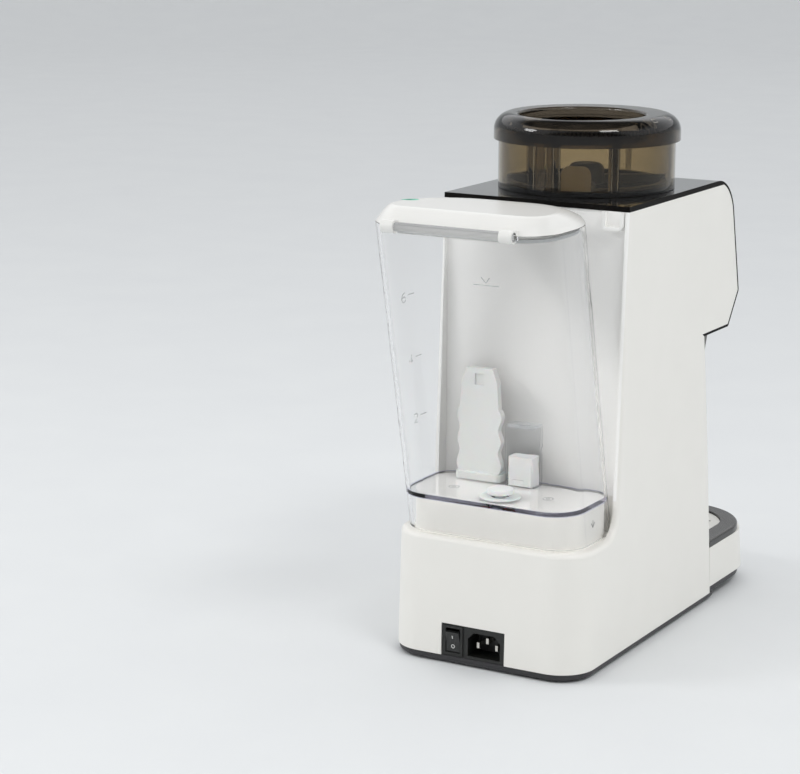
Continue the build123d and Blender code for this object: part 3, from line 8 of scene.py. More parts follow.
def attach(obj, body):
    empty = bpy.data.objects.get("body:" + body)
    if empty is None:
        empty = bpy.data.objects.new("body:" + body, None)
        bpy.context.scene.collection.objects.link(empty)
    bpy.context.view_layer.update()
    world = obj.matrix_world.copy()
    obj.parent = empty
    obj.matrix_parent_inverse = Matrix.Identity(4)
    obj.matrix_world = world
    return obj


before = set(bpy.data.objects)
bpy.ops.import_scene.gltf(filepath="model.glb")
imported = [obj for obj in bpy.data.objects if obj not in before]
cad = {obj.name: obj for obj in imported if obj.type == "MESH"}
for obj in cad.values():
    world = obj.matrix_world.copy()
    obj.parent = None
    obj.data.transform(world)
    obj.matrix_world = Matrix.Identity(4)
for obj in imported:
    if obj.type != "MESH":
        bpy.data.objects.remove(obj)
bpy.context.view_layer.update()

# ------------------------------------------------------------------ counter, light and camera
# A product table: a seamless white paper sweep that curves up into a wall all round the machine,
# two rectangular softboxes on stands and an even white room behind them.


def linear(code):
    """sRGB hex to linear colour: c/12.92 up to 0.04045, above it ((c + 0.055)/1.055) to the power 2.4."""
    c = np.array([int(code[i:i + 2], 16) / 255 for i in (1, 3, 5)])
    return (*np.where(c <= 0.04045, c / 12.92, ((c + 0.055) / 1.055) ** 2.4).tolist(), 1.0)


def add_node(tree, kind, values=None, **settings):
    """Adds one node with its settings; a value that is an output socket becomes a link."""
    node = tree.nodes.new(kind)
    for name, value in settings.items():
        setattr(node, name, value)
    for name, value in (values or {}).items():
        if isinstance(value, bpy.types.NodeSocket):
            tree.links.new(value, node.inputs[name])
        else:
            node.inputs[name].default_value = value
    return node


# sockets of a Mix node that mixes colours: its two colours and its result
COLOUR_A, COLOUR_B, MIXED = 6, 7, 2


def new_finish(name, **sockets):
    """A material whose Principled surface has these socket values; gives it, its tree and its surface."""
    finish = bpy.data.materials.new(name)
    finish.use_nodes = True
    surface = finish.node_tree.nodes["Principled BSDF"]
    for socket, value in sockets.items():
        surface.inputs[socket.replace("_", " ")].default_value = value
    return finish, finish.node_tree, surface


def sheet_mesh(name, points):
    """A quad grid from an array of points (rows, columns, 3), whose last row joins its first."""
    rows, columns = points.shape[:2]
    index = np.arange(rows * columns).reshape(rows, columns)
    index = np.vstack([index, index[:1]])
    quads = np.stack([index[:-1, :-1], index[:-1, 1:], index[1:, 1:], index[1:, :-1]], -1).reshape(-1, 4)
    mesh = bpy.data.meshes.new(name)
    mesh.vertices.add(rows * columns)
    mesh.vertices.foreach_set("co", points.astype(np.float32).ravel())
    mesh.loops.add(quads.size)
    mesh.loops.foreach_set("vertex_index", quads.astype(np.int32).ravel())
    mesh.polygons.add(len(quads))
    mesh.polygons.foreach_set("loop_start", np.arange(0, quads.size, 4, dtype=np.int32))
    mesh.polygons.foreach_set("use_smooth", np.ones(len(quads), bool))
    mesh.update()
    mesh.validate()
    return mesh


def place(name, mesh, finish):
    """Puts a mesh into the scene as a piece with its finish."""
    piece = bpy.data.objects.new(name, mesh)
    bpy.context.scene.collection.objects.link(piece)
    mesh.materials.append(finish)
    return piece


# sweep: the radius runs out over the floor and turns up through a quarter circle, whose far edge then
# hangs down behind it
middle_r, flat_r, bend_r, hem_z = 0.002, 5.0, 2.5, 0.2
flat_rings, bend_rings = 16, 24
bend = np.linspace(0, pi / 2, bend_rings)[1:]
sweep_r = np.r_[np.linspace(middle_r, flat_r, flat_rings), flat_r + bend_r * np.sin(bend), flat_r + bend_r]
sweep_z = np.r_[np.zeros(flat_rings), bend_r * (1 - np.cos(bend)), hem_z]
turn = np.linspace(0, 2 * pi, 96, endpoint=False)[:, None]
sweep = np.stack([sweep_r * np.cos(turn), sweep_r * np.sin(turn), sweep_z + 0 * turn], -1)
paper, tree, surface = new_finish("white_paper_sweep", Roughness=0.75)
# paper has a faint mottle about 90 mm across
mottle = add_node(tree, "ShaderNodeTexNoise", {
    "Vector": add_node(tree, "ShaderNodeTexCoord").outputs["Object"], "Scale": 11.0, "Detail": 3.0,
})
shade = add_node(tree, "ShaderNodeMix", {
    "Factor": mottle.outputs["Fac"], COLOUR_A: linear("#DCDEDF"), COLOUR_B: linear("#E1E3E3"),
}, data_type="RGBA")
tree.links.new(shade.outputs[MIXED], surface.inputs["Base Color"])
floor = place("paper_sweep", sheet_mesh("paper_sweep", sweep), paper)

room = bpy.data.worlds.new("white_room")
room.use_nodes = True
tree = room.node_tree
# the studio is white, but for a dark curtain over the rear side of the room, up to 50 degrees high
skyward = add_node(tree, "ShaderNodeTexCoord").outputs["Generated"]
curtain_way = (-0.40, 0.85, -0.34)
toward = add_node(tree, "ShaderNodeVectorMath", {0: skyward, 1: curtain_way}, operation="DOT_PRODUCT")
curtain = add_node(tree, "ShaderNodeMapRange", {
    "Value": toward.outputs["Value"], "From Min": 0.30, "From Max": 0.55,
}, interpolation_type="SMOOTHSTEP")
# gloss also mirrors a dark ceiling, from 35 to 50 degrees up
ceiling = add_node(tree, "ShaderNodeMapRange", {
    "Value": add_node(tree, "ShaderNodeSeparateXYZ", {"Vector": skyward}).outputs["Z"],
    "From Min": 0.57, "From Max": 0.77,
}, interpolation_type="SMOOTHSTEP")
mirrored = add_node(tree, "ShaderNodeMath", {
    0: ceiling.outputs["Result"], 1: add_node(tree, "ShaderNodeLightPath").outputs["Is Glossy Ray"],
}, operation="MULTIPLY")
dark = add_node(tree, "ShaderNodeMath", {
    0: curtain.outputs["Result"], 1: mirrored.outputs["Value"],
}, operation="MAXIMUM")
wall = add_node(tree, "ShaderNodeMix", {
    "Factor": dark.outputs["Value"], COLOUR_A: linear("#F5F6F8"), COLOUR_B: linear("#525253"),
}, data_type="RGBA")
tree.links.new(wall.outputs[MIXED], tree.nodes["Background"].inputs["Color"])
tree.nodes["Background"].inputs["Strength"].default_value = 1.08
bpy.context.scene.world = room


def softbox(name, azimuth, elevation, distance, width, height, watts):
    """A rectangular lamp turned to face the machine's middle; angles in degrees, lengths in metres."""
    a, e = radians(azimuth), radians(elevation)
    middle = Vector((0, 0, 0.3))
    away = Vector((cos(e) * cos(a), cos(e) * sin(a), sin(e)))
    lamp = bpy.data.lights.new(name, "AREA")
    lamp.shape, lamp.size, lamp.size_y, lamp.energy = "RECTANGLE", width, height, watts
    stand = bpy.data.objects.new(name, lamp)
    aim = away.to_track_quat("Z", "Y").to_matrix().to_4x4()
    stand.matrix_world = Matrix.Translation(middle + distance * away) @ aim
    bpy.context.scene.collection.objects.link(stand)


softbox("softbox_left", azimuth=35, elevation=30, distance=2.2, width=0.6, height=0.4, watts=9)
softbox("softbox_right", azimuth=150, elevation=50, distance=2.2, width=0.75, height=0.4, watts=11)
# a fill lamp beside the camera lights the tank's recess; it is hidden from gloss
softbox("fill_lamp", azimuth=112, elevation=14, distance=3.0, width=0.9, height=0.9, watts=4)
bpy.data.objects["fill_lamp"].visible_glossy = False

# the camera's place, its turn and its lens: the lens is as many picture points long as focal_px
stand_point = (-0.7242, 1.4786, 0.5383)
yaw, pitch, roll = radians(30.225), radians(12.651), radians(0.145)
sensor_mm, focal_px, picture_px = 36, 2398.18, 800
ahead = Vector((sin(yaw) * cos(pitch), -cos(yaw) * cos(pitch), -sin(pitch)))
right = ahead.cross(Vector((0, 0, 1))).normalized()
above = right.cross(ahead)
camera = bpy.data.objects.new("camera", bpy.data.cameras.new("camera"))
turned = Matrix((cos(roll) * right + sin(roll) * above, cos(roll) * above - sin(roll) * right, -ahead))
camera.matrix_world = Matrix.Translation(stand_point) @ turned.transposed().to_4x4()
camera.data.sensor_fit, camera.data.sensor_width = "HORIZONTAL", sensor_mm
camera.data.lens = sensor_mm * focal_px / picture_px
camera.data.clip_start = 0.02
bpy.context.scene.collection.objects.link(camera)
bpy.context.scene.camera = camera
bpy.context.scene.view_settings.view_transform = "Standard"

# ------------------------------------------------------------------ base pan, feet and base screws
# The pan is one grained polypropylene moulding, dark grey, that carries the whole machine on four
# soft rubber pads. Four steel screws go up through it into bosses of the body.


def dress(finish, *names):
    """Gives a finish to the machine's own solids."""
    for name in names:
        for slot in cad[name].material_slots:
            slot.material = finish


def grain(tree, surface, size_mm, depth_mm, edge_mm=0.0, detail=4.0, strength=1.0):
    """Height of a noise whose lumps are size_mm across, over an edge that is softened by edge_mm."""
    lumps = add_node(tree, "ShaderNodeTexNoise", {
        "Vector": add_node(tree, "ShaderNodeTexCoord").outputs["Object"],
        "Scale": 1000 / size_mm, "Detail": detail,
    })
    values = {"Height": lumps.outputs["Fac"], "Distance": depth_mm / 1000, "Strength": strength}
    if edge_mm:
        rounded = add_node(tree, "ShaderNodeBevel", {"Radius": edge_mm / 1000}, samples=6)
        values["Normal"] = rounded.outputs["Normal"]
    bump = add_node(tree, "ShaderNodeBump", values)
    tree.links.new(bump.outputs["Normal"], surface.inputs["Normal"])
    return lumps


def tone(tree, surface, factor, low, high, socket="Base Color"):
    """Runs a factor between two sRGB colours into a colour socket."""
    mix = add_node(tree, "ShaderNodeMix", {
        "Factor": factor, COLOUR_A: linear(low), COLOUR_B: linear(high),
    }, data_type="RGBA")
    tree.links.new(mix.outputs[MIXED], surface.inputs[socket])
    return mix


# polypropylene with a sand-like mould grain: dull, with a thin highlight on its edges
pan_plastic, tree, surface = new_finish("grained_polypropylene_dark_grey", Roughness=0.42, IOR=1.49)
lumps = grain(tree, surface, 0.6, 0.02, 0.5)
tone(tree, surface, lumps.outputs["Fac"], "#2B2A2C", "#38373A")
dress(pan_plastic, "base_pan")

# soft rubber: nearly black and quite dull
foot_rubber, tree, surface = new_finish("moulded_rubber_black", Roughness=0.8, IOR=1.52)
lumps = grain(tree, surface, 1.2, 0.03)
tone(tree, surface, lumps.outputs["Fac"], "#161617", "#222224")
dress(foot_rubber, "rubber_feet")

# zinc-plated steel: grey metal with a fine cloudy plating
screw_steel, tree, surface = new_finish("zinc_plated_steel", Metallic=1.0, Roughness=0.34)
lumps = grain(tree, surface, 0.8, 0.01, 0.2)
tone(tree, surface, lumps.outputs["Fac"], "#A9ABAD", "#C3C4C5")
dress(screw_steel, "base_screws", "motor_screws")

# ------------------------------------------------------------------ white body shells
# Column, cheeks, ledge and rear base are one ABS shell; head sides, front base and the panel behind
# the bottle are separate ABS mouldings that clip to it. All come from satin moulds, slightly warm.
body_abs, tree, surface = new_finish("satin_moulded_abs_white", Roughness=0.36, IOR=1.53)
lumps = grain(tree, surface, 26.0, 0.05, 0.5, detail=1.0)
outside = tone(tree, surface, lumps.outputs["Fac"], "#EEECE6", "#F1EFE9")
# painted light: the recess behind the tank is painted whiter than the outside, to make up for the shade that
# the tank, its lid and the cheeks cast in it. It takes in what lies between the cheeks, above the ledge and
# from Y 50 mm backwards
recess_half_x, recess_floor_z, recess_front_y = 0.0695, 0.1125, 0.050
spot = add_node(tree, "ShaderNodeSeparateXYZ", {
    "Vector": add_node(tree, "ShaderNodeTexCoord").outputs["Object"],
})
off_middle = add_node(tree, "ShaderNodeMath", {0: spot.outputs["X"]}, operation="ABSOLUTE")
between = add_node(tree, "ShaderNodeMath", {
    0: off_middle.outputs["Value"], 1: recess_half_x,
}, operation="LESS_THAN")
higher = add_node(tree, "ShaderNodeMath", {0: spot.outputs["Z"], 1: recess_floor_z}, operation="GREATER_THAN")
rearward = add_node(tree, "ShaderNodeMath", {
    0: spot.outputs["Y"], 1: recess_front_y,
}, operation="GREATER_THAN")
painted_light_share = add_node(tree, "ShaderNodeMath", {
    0: between.outputs["Value"], 1: higher.outputs["Value"],
}, operation="MULTIPLY")
painted_light_share = add_node(tree, "ShaderNodeMath", {
    0: painted_light_share.outputs["Value"], 1: rearward.outputs["Value"],
}, operation="MULTIPLY")
# painted light: inside this mask the base colour turns whiter, also on the top of the tank seat that is seen
# shaded through the tank's floor
recess_painted_light = add_node(tree, "ShaderNodeMix", {
    "Factor": painted_light_share.outputs["Value"], COLOUR_A: outside.outputs[MIXED], COLOUR_B: linear("#FBFAF7"),
}, data_type="RGBA")
tree.links.new(recess_painted_light.outputs[MIXED], surface.inputs["Base Color"])
dress(
    body_abs, "main_housing", "head_housing", "front_base_cover", "column_front_cover", "tank_catches",
    "tank_seat",
)

# ------------------------------------------------------------------ black gloss skin of the head
# A sheet of black acrylic-faced ABS bends over the top and the front of the head. It is polished,
# so it mirrors the hopper and the room.
gloss_skin, tree, surface = new_finish("polished_acrylic_black", IOR=1.5, Coat_Roughness=0.02, Coat_IOR=2.6)
lumps = grain(tree, surface, 40.0, 0.02, 0.4, detail=1.0)
tone(tree, surface, lumps.outputs["Fac"], "#0C0B0A", "#13110F")
# the sawn edges that face sideways and backwards are left matt
facing = add_node(tree, "ShaderNodeSeparateXYZ", {
    "Vector": add_node(tree, "ShaderNodeTexCoord").outputs["Normal"],
})
sideways = add_node(tree, "ShaderNodeMath", {0: facing.outputs["X"]}, operation="ABSOLUTE")
sawn = add_node(tree, "ShaderNodeMath", {
    0: sideways.outputs["Value"], 1: facing.outputs["Y"],
}, operation="MAXIMUM")
sawn = add_node(tree, "ShaderNodeMapRange", {"Value": sawn.outputs["Value"], "From Min": 0.6, "From Max": 0.7})
for socket, polished, matt in (("Roughness", 0.04, 0.5), ("Specular IOR Level", 0.5, 0.08)):
    share = add_node(tree, "ShaderNodeMapRange", {
        "Value": sawn.outputs["Result"], "To Min": polished, "To Max": matt,
    })
    tree.links.new(share.outputs["Result"], surface.inputs[socket])
# a hard coat lies on the flat top alone; a thin trace of it runs down the front
coated = add_node(tree, "ShaderNodeMapRange", {
    "Value": facing.outputs["Z"], "From Min": 0.90, "From Max": 0.99, "To Min": 0.08, "To Max": 1.0,
})
unsawn = add_node(tree, "ShaderNodeMath", {0: 1.0, 1: sawn.outputs["Result"]}, operation="SUBTRACT")
coated = add_node(tree, "ShaderNodeMath", {
    0: coated.outputs["Result"], 1: unsawn.outputs["Value"],
}, operation="MULTIPLY")
tree.links.new(coated.outputs["Value"], surface.inputs["Coat Weight"])
dress(gloss_skin, "gloss_cover")

# ------------------------------------------------------------------ front console
# A smoked window covers the numerals of the display; four grey keys under it are pressed by hand and
# carry printed marks.
window_acrylic, tree, surface = new_finish(
    "smoked_acrylic_window", Roughness=0.04, IOR=1.49, Coat_Weight=0.6, Coat_Roughness=0.02,
)
lumps = grain(tree, surface, 30.0, 0.01, 0.3, detail=1.0)
tone(tree, surface, lumps.outputs["Fac"], "#08090C", "#0E1014")
dress(window_acrylic, "display_window")

key_plastic, tree, surface = new_finish("satin_moulded_abs_dark_grey", Roughness=0.38, IOR=1.53)
lumps = grain(tree, surface, 0.8, 0.01, 0.3)
tone(tree, surface, lumps.outputs["Fac"], "#2C2D30", "#343539")
dress(key_plastic, "power_button", "volume_button", "temperature_button", "start_button")

# ------------------------------------------------------------------ circuit boards
# Glass-epoxy boards of the console and of the mains supply: green solder mask over copper tracks that
# show as slightly lighter lines.
board_epoxy, tree, surface = new_finish("solder_masked_glass_epoxy", Roughness=0.35, IOR=1.55)
coordinates = add_node(tree, "ShaderNodeTexCoord").outputs["Object"]
# tracks on a 3 mm pitch, broken up by a noise
track_pitch_mm, waves_per_scale = 3.0, 6.4
tracks = add_node(tree, "ShaderNodeTexWave", {
    "Vector": coordinates, "Scale": 1000 / (track_pitch_mm * waves_per_scale),
    "Distortion": 3.0, "Detail": 1.0, "Detail Scale": 2.0,
}, wave_type="BANDS", bands_direction="DIAGONAL")
edge = add_node(tree, "ShaderNodeMapRange", {
    "Value": tracks.outputs["Fac"], "From Min": 0.60, "From Max": 0.66,
})
tone(tree, surface, edge.outputs["Result"], "#12492A", "#1F6B3F")
bump = add_node(tree, "ShaderNodeBump", {"Height": edge.outputs["Result"], "Distance": 0.00004})
tree.links.new(bump.outputs["Normal"], surface.inputs["Normal"])
dress(board_epoxy, "control_board", "power_board")

# ------------------------------------------------------------------ drip tray and its plate
# The tray's ring and basin are one dark ABS moulding; a pale perforated ABS plate drops into the ring
# and is lifted out by hand.
tray_abs, tree, surface = new_finish("gloss_moulded_abs_graphite", Roughness=0.2, IOR=1.53)
lumps = grain(tree, surface, 18.0, 0.03, 0.5, detail=1.0)
top = tone(tree, surface, lumps.outputs["Fac"], "#3A3938", "#434240")
# painted shade: the ring's upright walls are painted nearly black, for the dark shaded line under the ring
skyward = add_node(tree, "ShaderNodeSeparateXYZ", {
    "Vector": add_node(tree, "ShaderNodeTexCoord").outputs["Normal"],
})
painted_shade_upright = add_node(tree, "ShaderNodeMapRange", {
    "Value": skyward.outputs["Z"], "From Min": 0.05, "From Max": 0.6, "To Min": 1.0, "To Max": 0.0,
})
wall = add_node(tree, "ShaderNodeMix", {
    "Factor": painted_shade_upright.outputs["Result"], COLOUR_A: top.outputs[MIXED], COLOUR_B: linear("#141413"),
}, data_type="RGBA")
tree.links.new(wall.outputs[MIXED], surface.inputs["Base Color"])
dress(tray_abs, "drip_tray")

plate_abs, tree, surface = new_finish("satin_moulded_abs_pale_grey", Roughness=0.34, IOR=1.53)
lumps = grain(tree, surface, 14.0, 0.03, 0.3, detail=1.0)
tone(tree, surface, lumps.outputs["Fac"], "#D3D2CC", "#DAD9D4")
dress(plate_abs, "tray_plate")

# ------------------------------------------------------------------ mains inlet and rocker switch
# Black nylon module with a three-pin appliance inlet and a rocker; nickel-plated pins. The rocker's
# line and ring are pad printed in white.
inlet_nylon, tree, surface = new_finish("moulded_nylon_black", Roughness=0.4, IOR=1.53)
lumps = grain(tree, surface, 0.5, 0.012, 0.25)
tone(tree, surface, lumps.outputs["Fac"], "#0E0F0D", "#191A17")
dress(inlet_nylon, "inlet_module")

rocker_nylon, tree, surface = new_finish("satin_moulded_nylon_black", Roughness=0.24, IOR=1.53)
lumps = grain(tree, surface, 3.0, 0.01, 0.3)
tone(tree, surface, lumps.outputs["Fac"], "#1B1C1B", "#242524")
dress(rocker_nylon, "rocker")

pin_nickel, tree, surface = new_finish("nickel_plated_brass", Metallic=1.0, Roughness=0.22)
lumps = grain(tree, surface, 2.0, 0.01, 0.3)
tone(tree, surface, lumps.outputs["Fac"], "#C9C6BE", "#DEDCD6")
dress(pin_nickel, "inlet_pins")


def ribbon(path, width, closed=False):
    """The two sides of a flat strip along a plane path (n, 2).

    Each point is moved by half the width along the path's mitred normal, to the left and to the right."""
    along = np.roll(path, -1, 0) - np.roll(path, 1, 0) if closed else np.gradient(path, axis=0)
    along = along / np.linalg.norm(along, axis=1, keepdims=True)
    across = np.stack([-along[:, 1], along[:, 0]], -1) * width / 2
    return path + across, path - across


def print_mark(strokes, thickness, lay):
    """Printed marks: strokes (path, width, closed) become closed bars of ink, laid on a surface.

    lay takes an array (..., 3) of flat x, flat y and height above the surface, and gives points in space."""
    corners, quads, start = [], [], 0
    for path, width, closed in strokes:
        path = np.asarray(path, float)
        left, right = ribbon(path, width, closed)
        n = len(path)
        high, low = np.full((n, 1), thickness), np.full((n, 1), -0.2 * thickness)
        sides = (left, high), (right, high), (right, low), (left, low)
        ring = np.stack([np.hstack(side) for side in sides], 1)
        corners.append(lay(ring).reshape(-1, 3))
        index = start + np.arange(4 * n).reshape(n, 4)
        following = np.roll(index, -1, 0)
        if not closed:
            index, following = index[:-1], following[:-1]
        near_edge, far_edge = np.roll(index, -1, 1), np.roll(following, -1, 1)
        quads.append(np.stack([index, near_edge, far_edge, following], -1).reshape(-1, 4))
        if not closed:
            last = start + 4 * (n - 1)
            quads.append(np.array([
                [start + 3, start + 2, start + 1, start], [last, last + 1, last + 2, last + 3],
            ]))
        start += 4 * n
    mesh = bpy.data.meshes.new("ink")
    mesh.from_pydata(np.vstack(corners).tolist(), [], np.vstack(quads).tolist())
    mesh.update()
    return mesh


def circle(x, y, radius, start=0.0, end=360.0, count=33):
    """Points of an arc from start to end degrees, anticlockwise; a whole turn leaves out its last point."""
    whole = abs(end - start) >= 360
    t = np.radians(np.linspace(start, end, count, endpoint=not whole))
    return np.stack([x + radius * np.cos(t), y + radius * np.sin(t)], -1)


white_ink, tree, surface = new_finish("pad_printed_ink_white", Roughness=0.5, IOR=1.5)
lumps = grain(tree, surface, 0.5, 0.004)
tone(tree, surface, lumps.outputs["Fac"], "#C9C9C6", "#DCDCD9")

# the rocker lies 9 degrees over; its face falls from the crests to a waist in the middle
rocker_x, rocker_y, rocker_z, rocker_lean = 20.2, 124.07, 17.4, radians(-9)
crest, waist, half_rocker = 6.0, 5.0, 7.2


def on_rocker(p):
    """Flat x, flat z and height on the rocker's face.

    The face stands at waist + (crest - waist) times |z| over its half height, then leans about X."""
    x, z, h = -p[..., 0], p[..., 1], p[..., 2]
    y = waist + (crest - waist) * np.abs(z) / half_rocker + h
    return np.stack([
        rocker_x + x,
        rocker_y + y * cos(rocker_lean) - z * sin(rocker_lean),
        rocker_z + y * sin(rocker_lean) + z * cos(rocker_lean),
    ], -1) / 1000


rocker_marks = place("rocker_marks", print_mark([
    ([(0, 2.2), (0, 3.4), (0, 4.6)], 0.6, False),
    (circle(0, -3.4, 1.15), 0.5, True),
], 0.08, on_rocker), white_ink)
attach(rocker_marks, "power_rocker")

# ------------------------------------------------------------------ printed marks of the console
# Every key carries one pad-printed sign: power, a cup, a thermometer and start. The window shows an
# amount of 120 in seven-bar numerals.
console_tilt = radians(11.31)
console_y, console_z, key_height = -128.223, 252.885, 1.0


def on_console(p):
    """Flat x is X, flat y climbs the slanted front, and the height stands out along its normal."""
    return np.stack([
        p[..., 0],
        console_y + p[..., 1] * sin(console_tilt) - p[..., 2] * cos(console_tilt),
        console_z + p[..., 1] * cos(console_tilt) + p[..., 2] * sin(console_tilt),
    ], -1) / 1000


def on_key(p):
    """As on the console, but on the keys' faces, which stand proud of it."""
    return on_console(p + np.array([0, 0, key_height]))


for body, strokes in (
    ("power_key", [
        (circle(-34.5, -13.0, 2.4, 125, 415, 25), 0.5, False),
        ([(-34.5, -9.8), (-34.5, -11.4), (-34.5, -13.0)], 0.5, False),
    ]),
    ("volume_key", [
        ([(-13.6, -10.6), (-13.0, -15.6), (-10.0, -15.6), (-9.4, -10.6)], 0.5, False),
        ([(-13.2, -13.0), (-11.5, -12.6), (-9.8, -13.0)], 0.4, False),
    ]),
    ("temperature_key", [
        (circle(11.5, -14.6, 1.3, 125, 415, 21), 0.5, False),
        ([(10.75, -13.5), (10.75, -10.4), (12.25, -10.4), (12.25, -13.5)], 0.4, False),
    ]),
    ("start_key", [
        ([(33.4, -10.6), (36.9, -13.0), (33.4, -15.4)], 0.5, True),
    ]),
):
    sign = place(body + "_sign", print_mark(strokes, 0.06, on_key), white_ink)
    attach(sign, body)

display_ink, tree, surface = new_finish("display_segments_lit", Roughness=0.4)
lumps = grain(tree, surface, 0.5, 0.004)
tone(tree, surface, lumps.outputs["Fac"], "#DDE3E8", "#EDF1F4")
SEVEN_BARS = {"1": "bc", "2": "abged", "0": "abcdef"}
bar_ends = {
    "a": (0, 9, 5, 9), "b": (5, 9, 5, 4.5), "c": (5, 4.5, 5, 0), "d": (0, 0, 5, 0),
    "e": (0, 0, 0, 4.5), "f": (0, 4.5, 0, 9), "g": (0, 4.5, 5, 4.5),
}
digit_pitch, first_digit, bar_gap, bar_width = 9.0, (-11.5, 6.5), 0.1, 0.9
bars = []
for place_no, digit in enumerate("120"):
    for bar in SEVEN_BARS[digit]:
        ends = np.array(bar_ends[bar], float).reshape(2, 2)
        ends += bar_gap * (ends[::-1] - ends) + (first_digit[0] + digit_pitch * place_no, first_digit[1])
        bars.append((ends, bar_width, False))
display = place("display_numerals", print_mark(bars, 0.05, on_console), display_ink)
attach(display, "machine")

# ------------------------------------------------------------------ tank valve, seat pieces and sensor
# Under the tank: a silicone ring seals the spout, a steel pin pushes the valve open and a reed
# sensor in a black case reads the float.
milky_silicone, tree, surface = new_finish(
    "moulded_silicone_milky", Roughness=0.45, IOR=1.41, Subsurface_Weight=0.3, Subsurface_Scale=0.002,
)
lumps = grain(tree, surface, 6.0, 0.02)
tone(tree, surface, lumps.outputs["Fac"], "#D6D8D6", "#E2E3E0")
dress(milky_silicone, "outlet_seal", "inlet_hose", "pump_hose", "outlet_hose")

grey_silicone, tree, surface = new_finish("moulded_silicone_grey", Roughness=0.45, IOR=1.41)
lumps = grain(tree, surface, 6.0, 0.02)
tone(tree, surface, lumps.outputs["Fac"], "#C0C2C2", "#C8CACA")
dress(grey_silicone, "tank_lid_seal")

stainless, tree, surface = new_finish("drawn_stainless_steel", Metallic=1.0, Roughness=0.25)
lumps = grain(tree, surface, 0.7, 0.01, 0.2)
tone(tree, surface, lumps.outputs["Fac"], "#B4B4B2", "#CBCBC8")
dress(stainless, "valve_pin", "valve_spring", "drive_spindle", "spindle_collar")
dress(inlet_nylon, "reed_sensor")

# ------------------------------------------------------------------ water tank
# Leaning tank injection-moulded in clear copolyester, with its floor, skirt and hinge rod in one. The
# thick edge of the floor looks violet grey from outside because light is trapped in it.


def pass_lamps(tree, surface, tint):
    """Lamps' rays go straight through: a light path switch swaps the surface for a tinted transparent one."""
    path = add_node(tree, "ShaderNodeLightPath")
    clear = add_node(tree, "ShaderNodeBsdfTransparent", {"Color": linear(tint)})
    swap = add_node(tree, "ShaderNodeMixShader", {
        0: path.outputs["Is Shadow Ray"], 1: surface.outputs["BSDF"], 2: clear.outputs["BSDF"],
    })
    tree.links.new(swap.outputs["Shader"], tree.nodes["Material Output"].inputs["Surface"])


tank_clear, tree, surface = new_finish(
    "clear_moulded_copolyester", Roughness=0.0, IOR=1.28, Transmission_Weight=1.0,
)
pass_lamps(tree, surface, "#FCFCFC")
place_in_tank = add_node(tree, "ShaderNodeSeparateXYZ", {
    "Vector": add_node(tree, "ShaderNodeTexCoord").outputs["Object"],
})
# the floor lies between 113.5 and 116.5 mm; only its outer edge is deep enough to look violet
floor_middle_z, floor_half = 0.1150, 0.0017
band = add_node(tree, "ShaderNodeMath", {
    0: place_in_tank.outputs["Z"], 1: floor_middle_z, 2: floor_half,
}, operation="COMPARE")
upright = add_node(tree, "ShaderNodeMath", {
    0: add_node(tree, "ShaderNodeSeparateXYZ", {
        "Vector": add_node(tree, "ShaderNodeTexCoord").outputs["Normal"],
    }).outputs["Z"],
}, operation="ABSOLUTE")
edge_on = add_node(tree, "ShaderNodeMath", {0: upright.outputs["Value"], 1: 0.5}, operation="LESS_THAN")
band = add_node(tree, "ShaderNodeMath", {
    0: band.outputs["Value"], 1: edge_on.outputs["Value"],
}, operation="MULTIPLY")
clear = tone(tree, surface, band.outputs["Value"], "#FDFDFD", "#C4C4DA")
# painted shade: where a wall is looked along, its outline is painted grey, standing in for the dark lines that
# refraction draws along a clear wall's outlines; there the walls also have no gloss
rim = add_node(tree, "ShaderNodeMapRange", {
    "Value": add_node(tree, "ShaderNodeLayerWeight", {"Blend": 0.5}).outputs["Facing"],
    "From Min": 0.82, "From Max": 0.97,
}, interpolation_type="SMOOTHSTEP")
outline_painted_shade = add_node(tree, "ShaderNodeMix", {
    "Factor": rim.outputs["Result"], COLOUR_A: clear.outputs[MIXED], COLOUR_B: linear("#6E7176"),
}, data_type="RGBA")
tree.links.new(outline_painted_shade.outputs[MIXED], surface.inputs["Base Color"])
gloss = add_node(tree, "ShaderNodeMapRange", {
    "Value": rim.outputs["Result"], "To Min": 0.5, "To Max": 0.0,
})
tree.links.new(gloss.outputs["Result"], surface.inputs["Specular IOR Level"])
# the hinge rod, at the top rear edge, is full of fine flow lines and passes less light straight on
rod_front_y, rod_foot_z = 0.1763, 0.2985
behind = add_node(tree, "ShaderNodeMath", {
    0: place_in_tank.outputs["Y"], 1: rod_front_y,
}, operation="GREATER_THAN")
high = add_node(tree, "ShaderNodeMath", {
    0: place_in_tank.outputs["Z"], 1: rod_foot_z,
}, operation="GREATER_THAN")
rod = add_node(tree, "ShaderNodeMath", {
    0: behind.outputs["Value"], 1: high.outputs["Value"],
}, operation="MULTIPLY")
passed = add_node(tree, "ShaderNodeMapRange", {"Value": rod.outputs["Value"], "To Min": 1.0, "To Max": 0.7})
tree.links.new(passed.outputs["Result"], surface.inputs["Transmission Weight"])
# the moulded walls have a very faint ripple 45 mm long
ripple = add_node(tree, "ShaderNodeTexNoise", {
    "Vector": add_node(tree, "ShaderNodeTexCoord").outputs["Object"], "Scale": 1000 / 45, "Detail": 0.0,
})
bump = add_node(tree, "ShaderNodeBump", {
    "Height": ripple.outputs["Fac"], "Distance": 0.00001, "Strength": 0.1,
})
tree.links.new(bump.outputs["Normal"], surface.inputs["Normal"])
dress(tank_clear, "tank_shell")

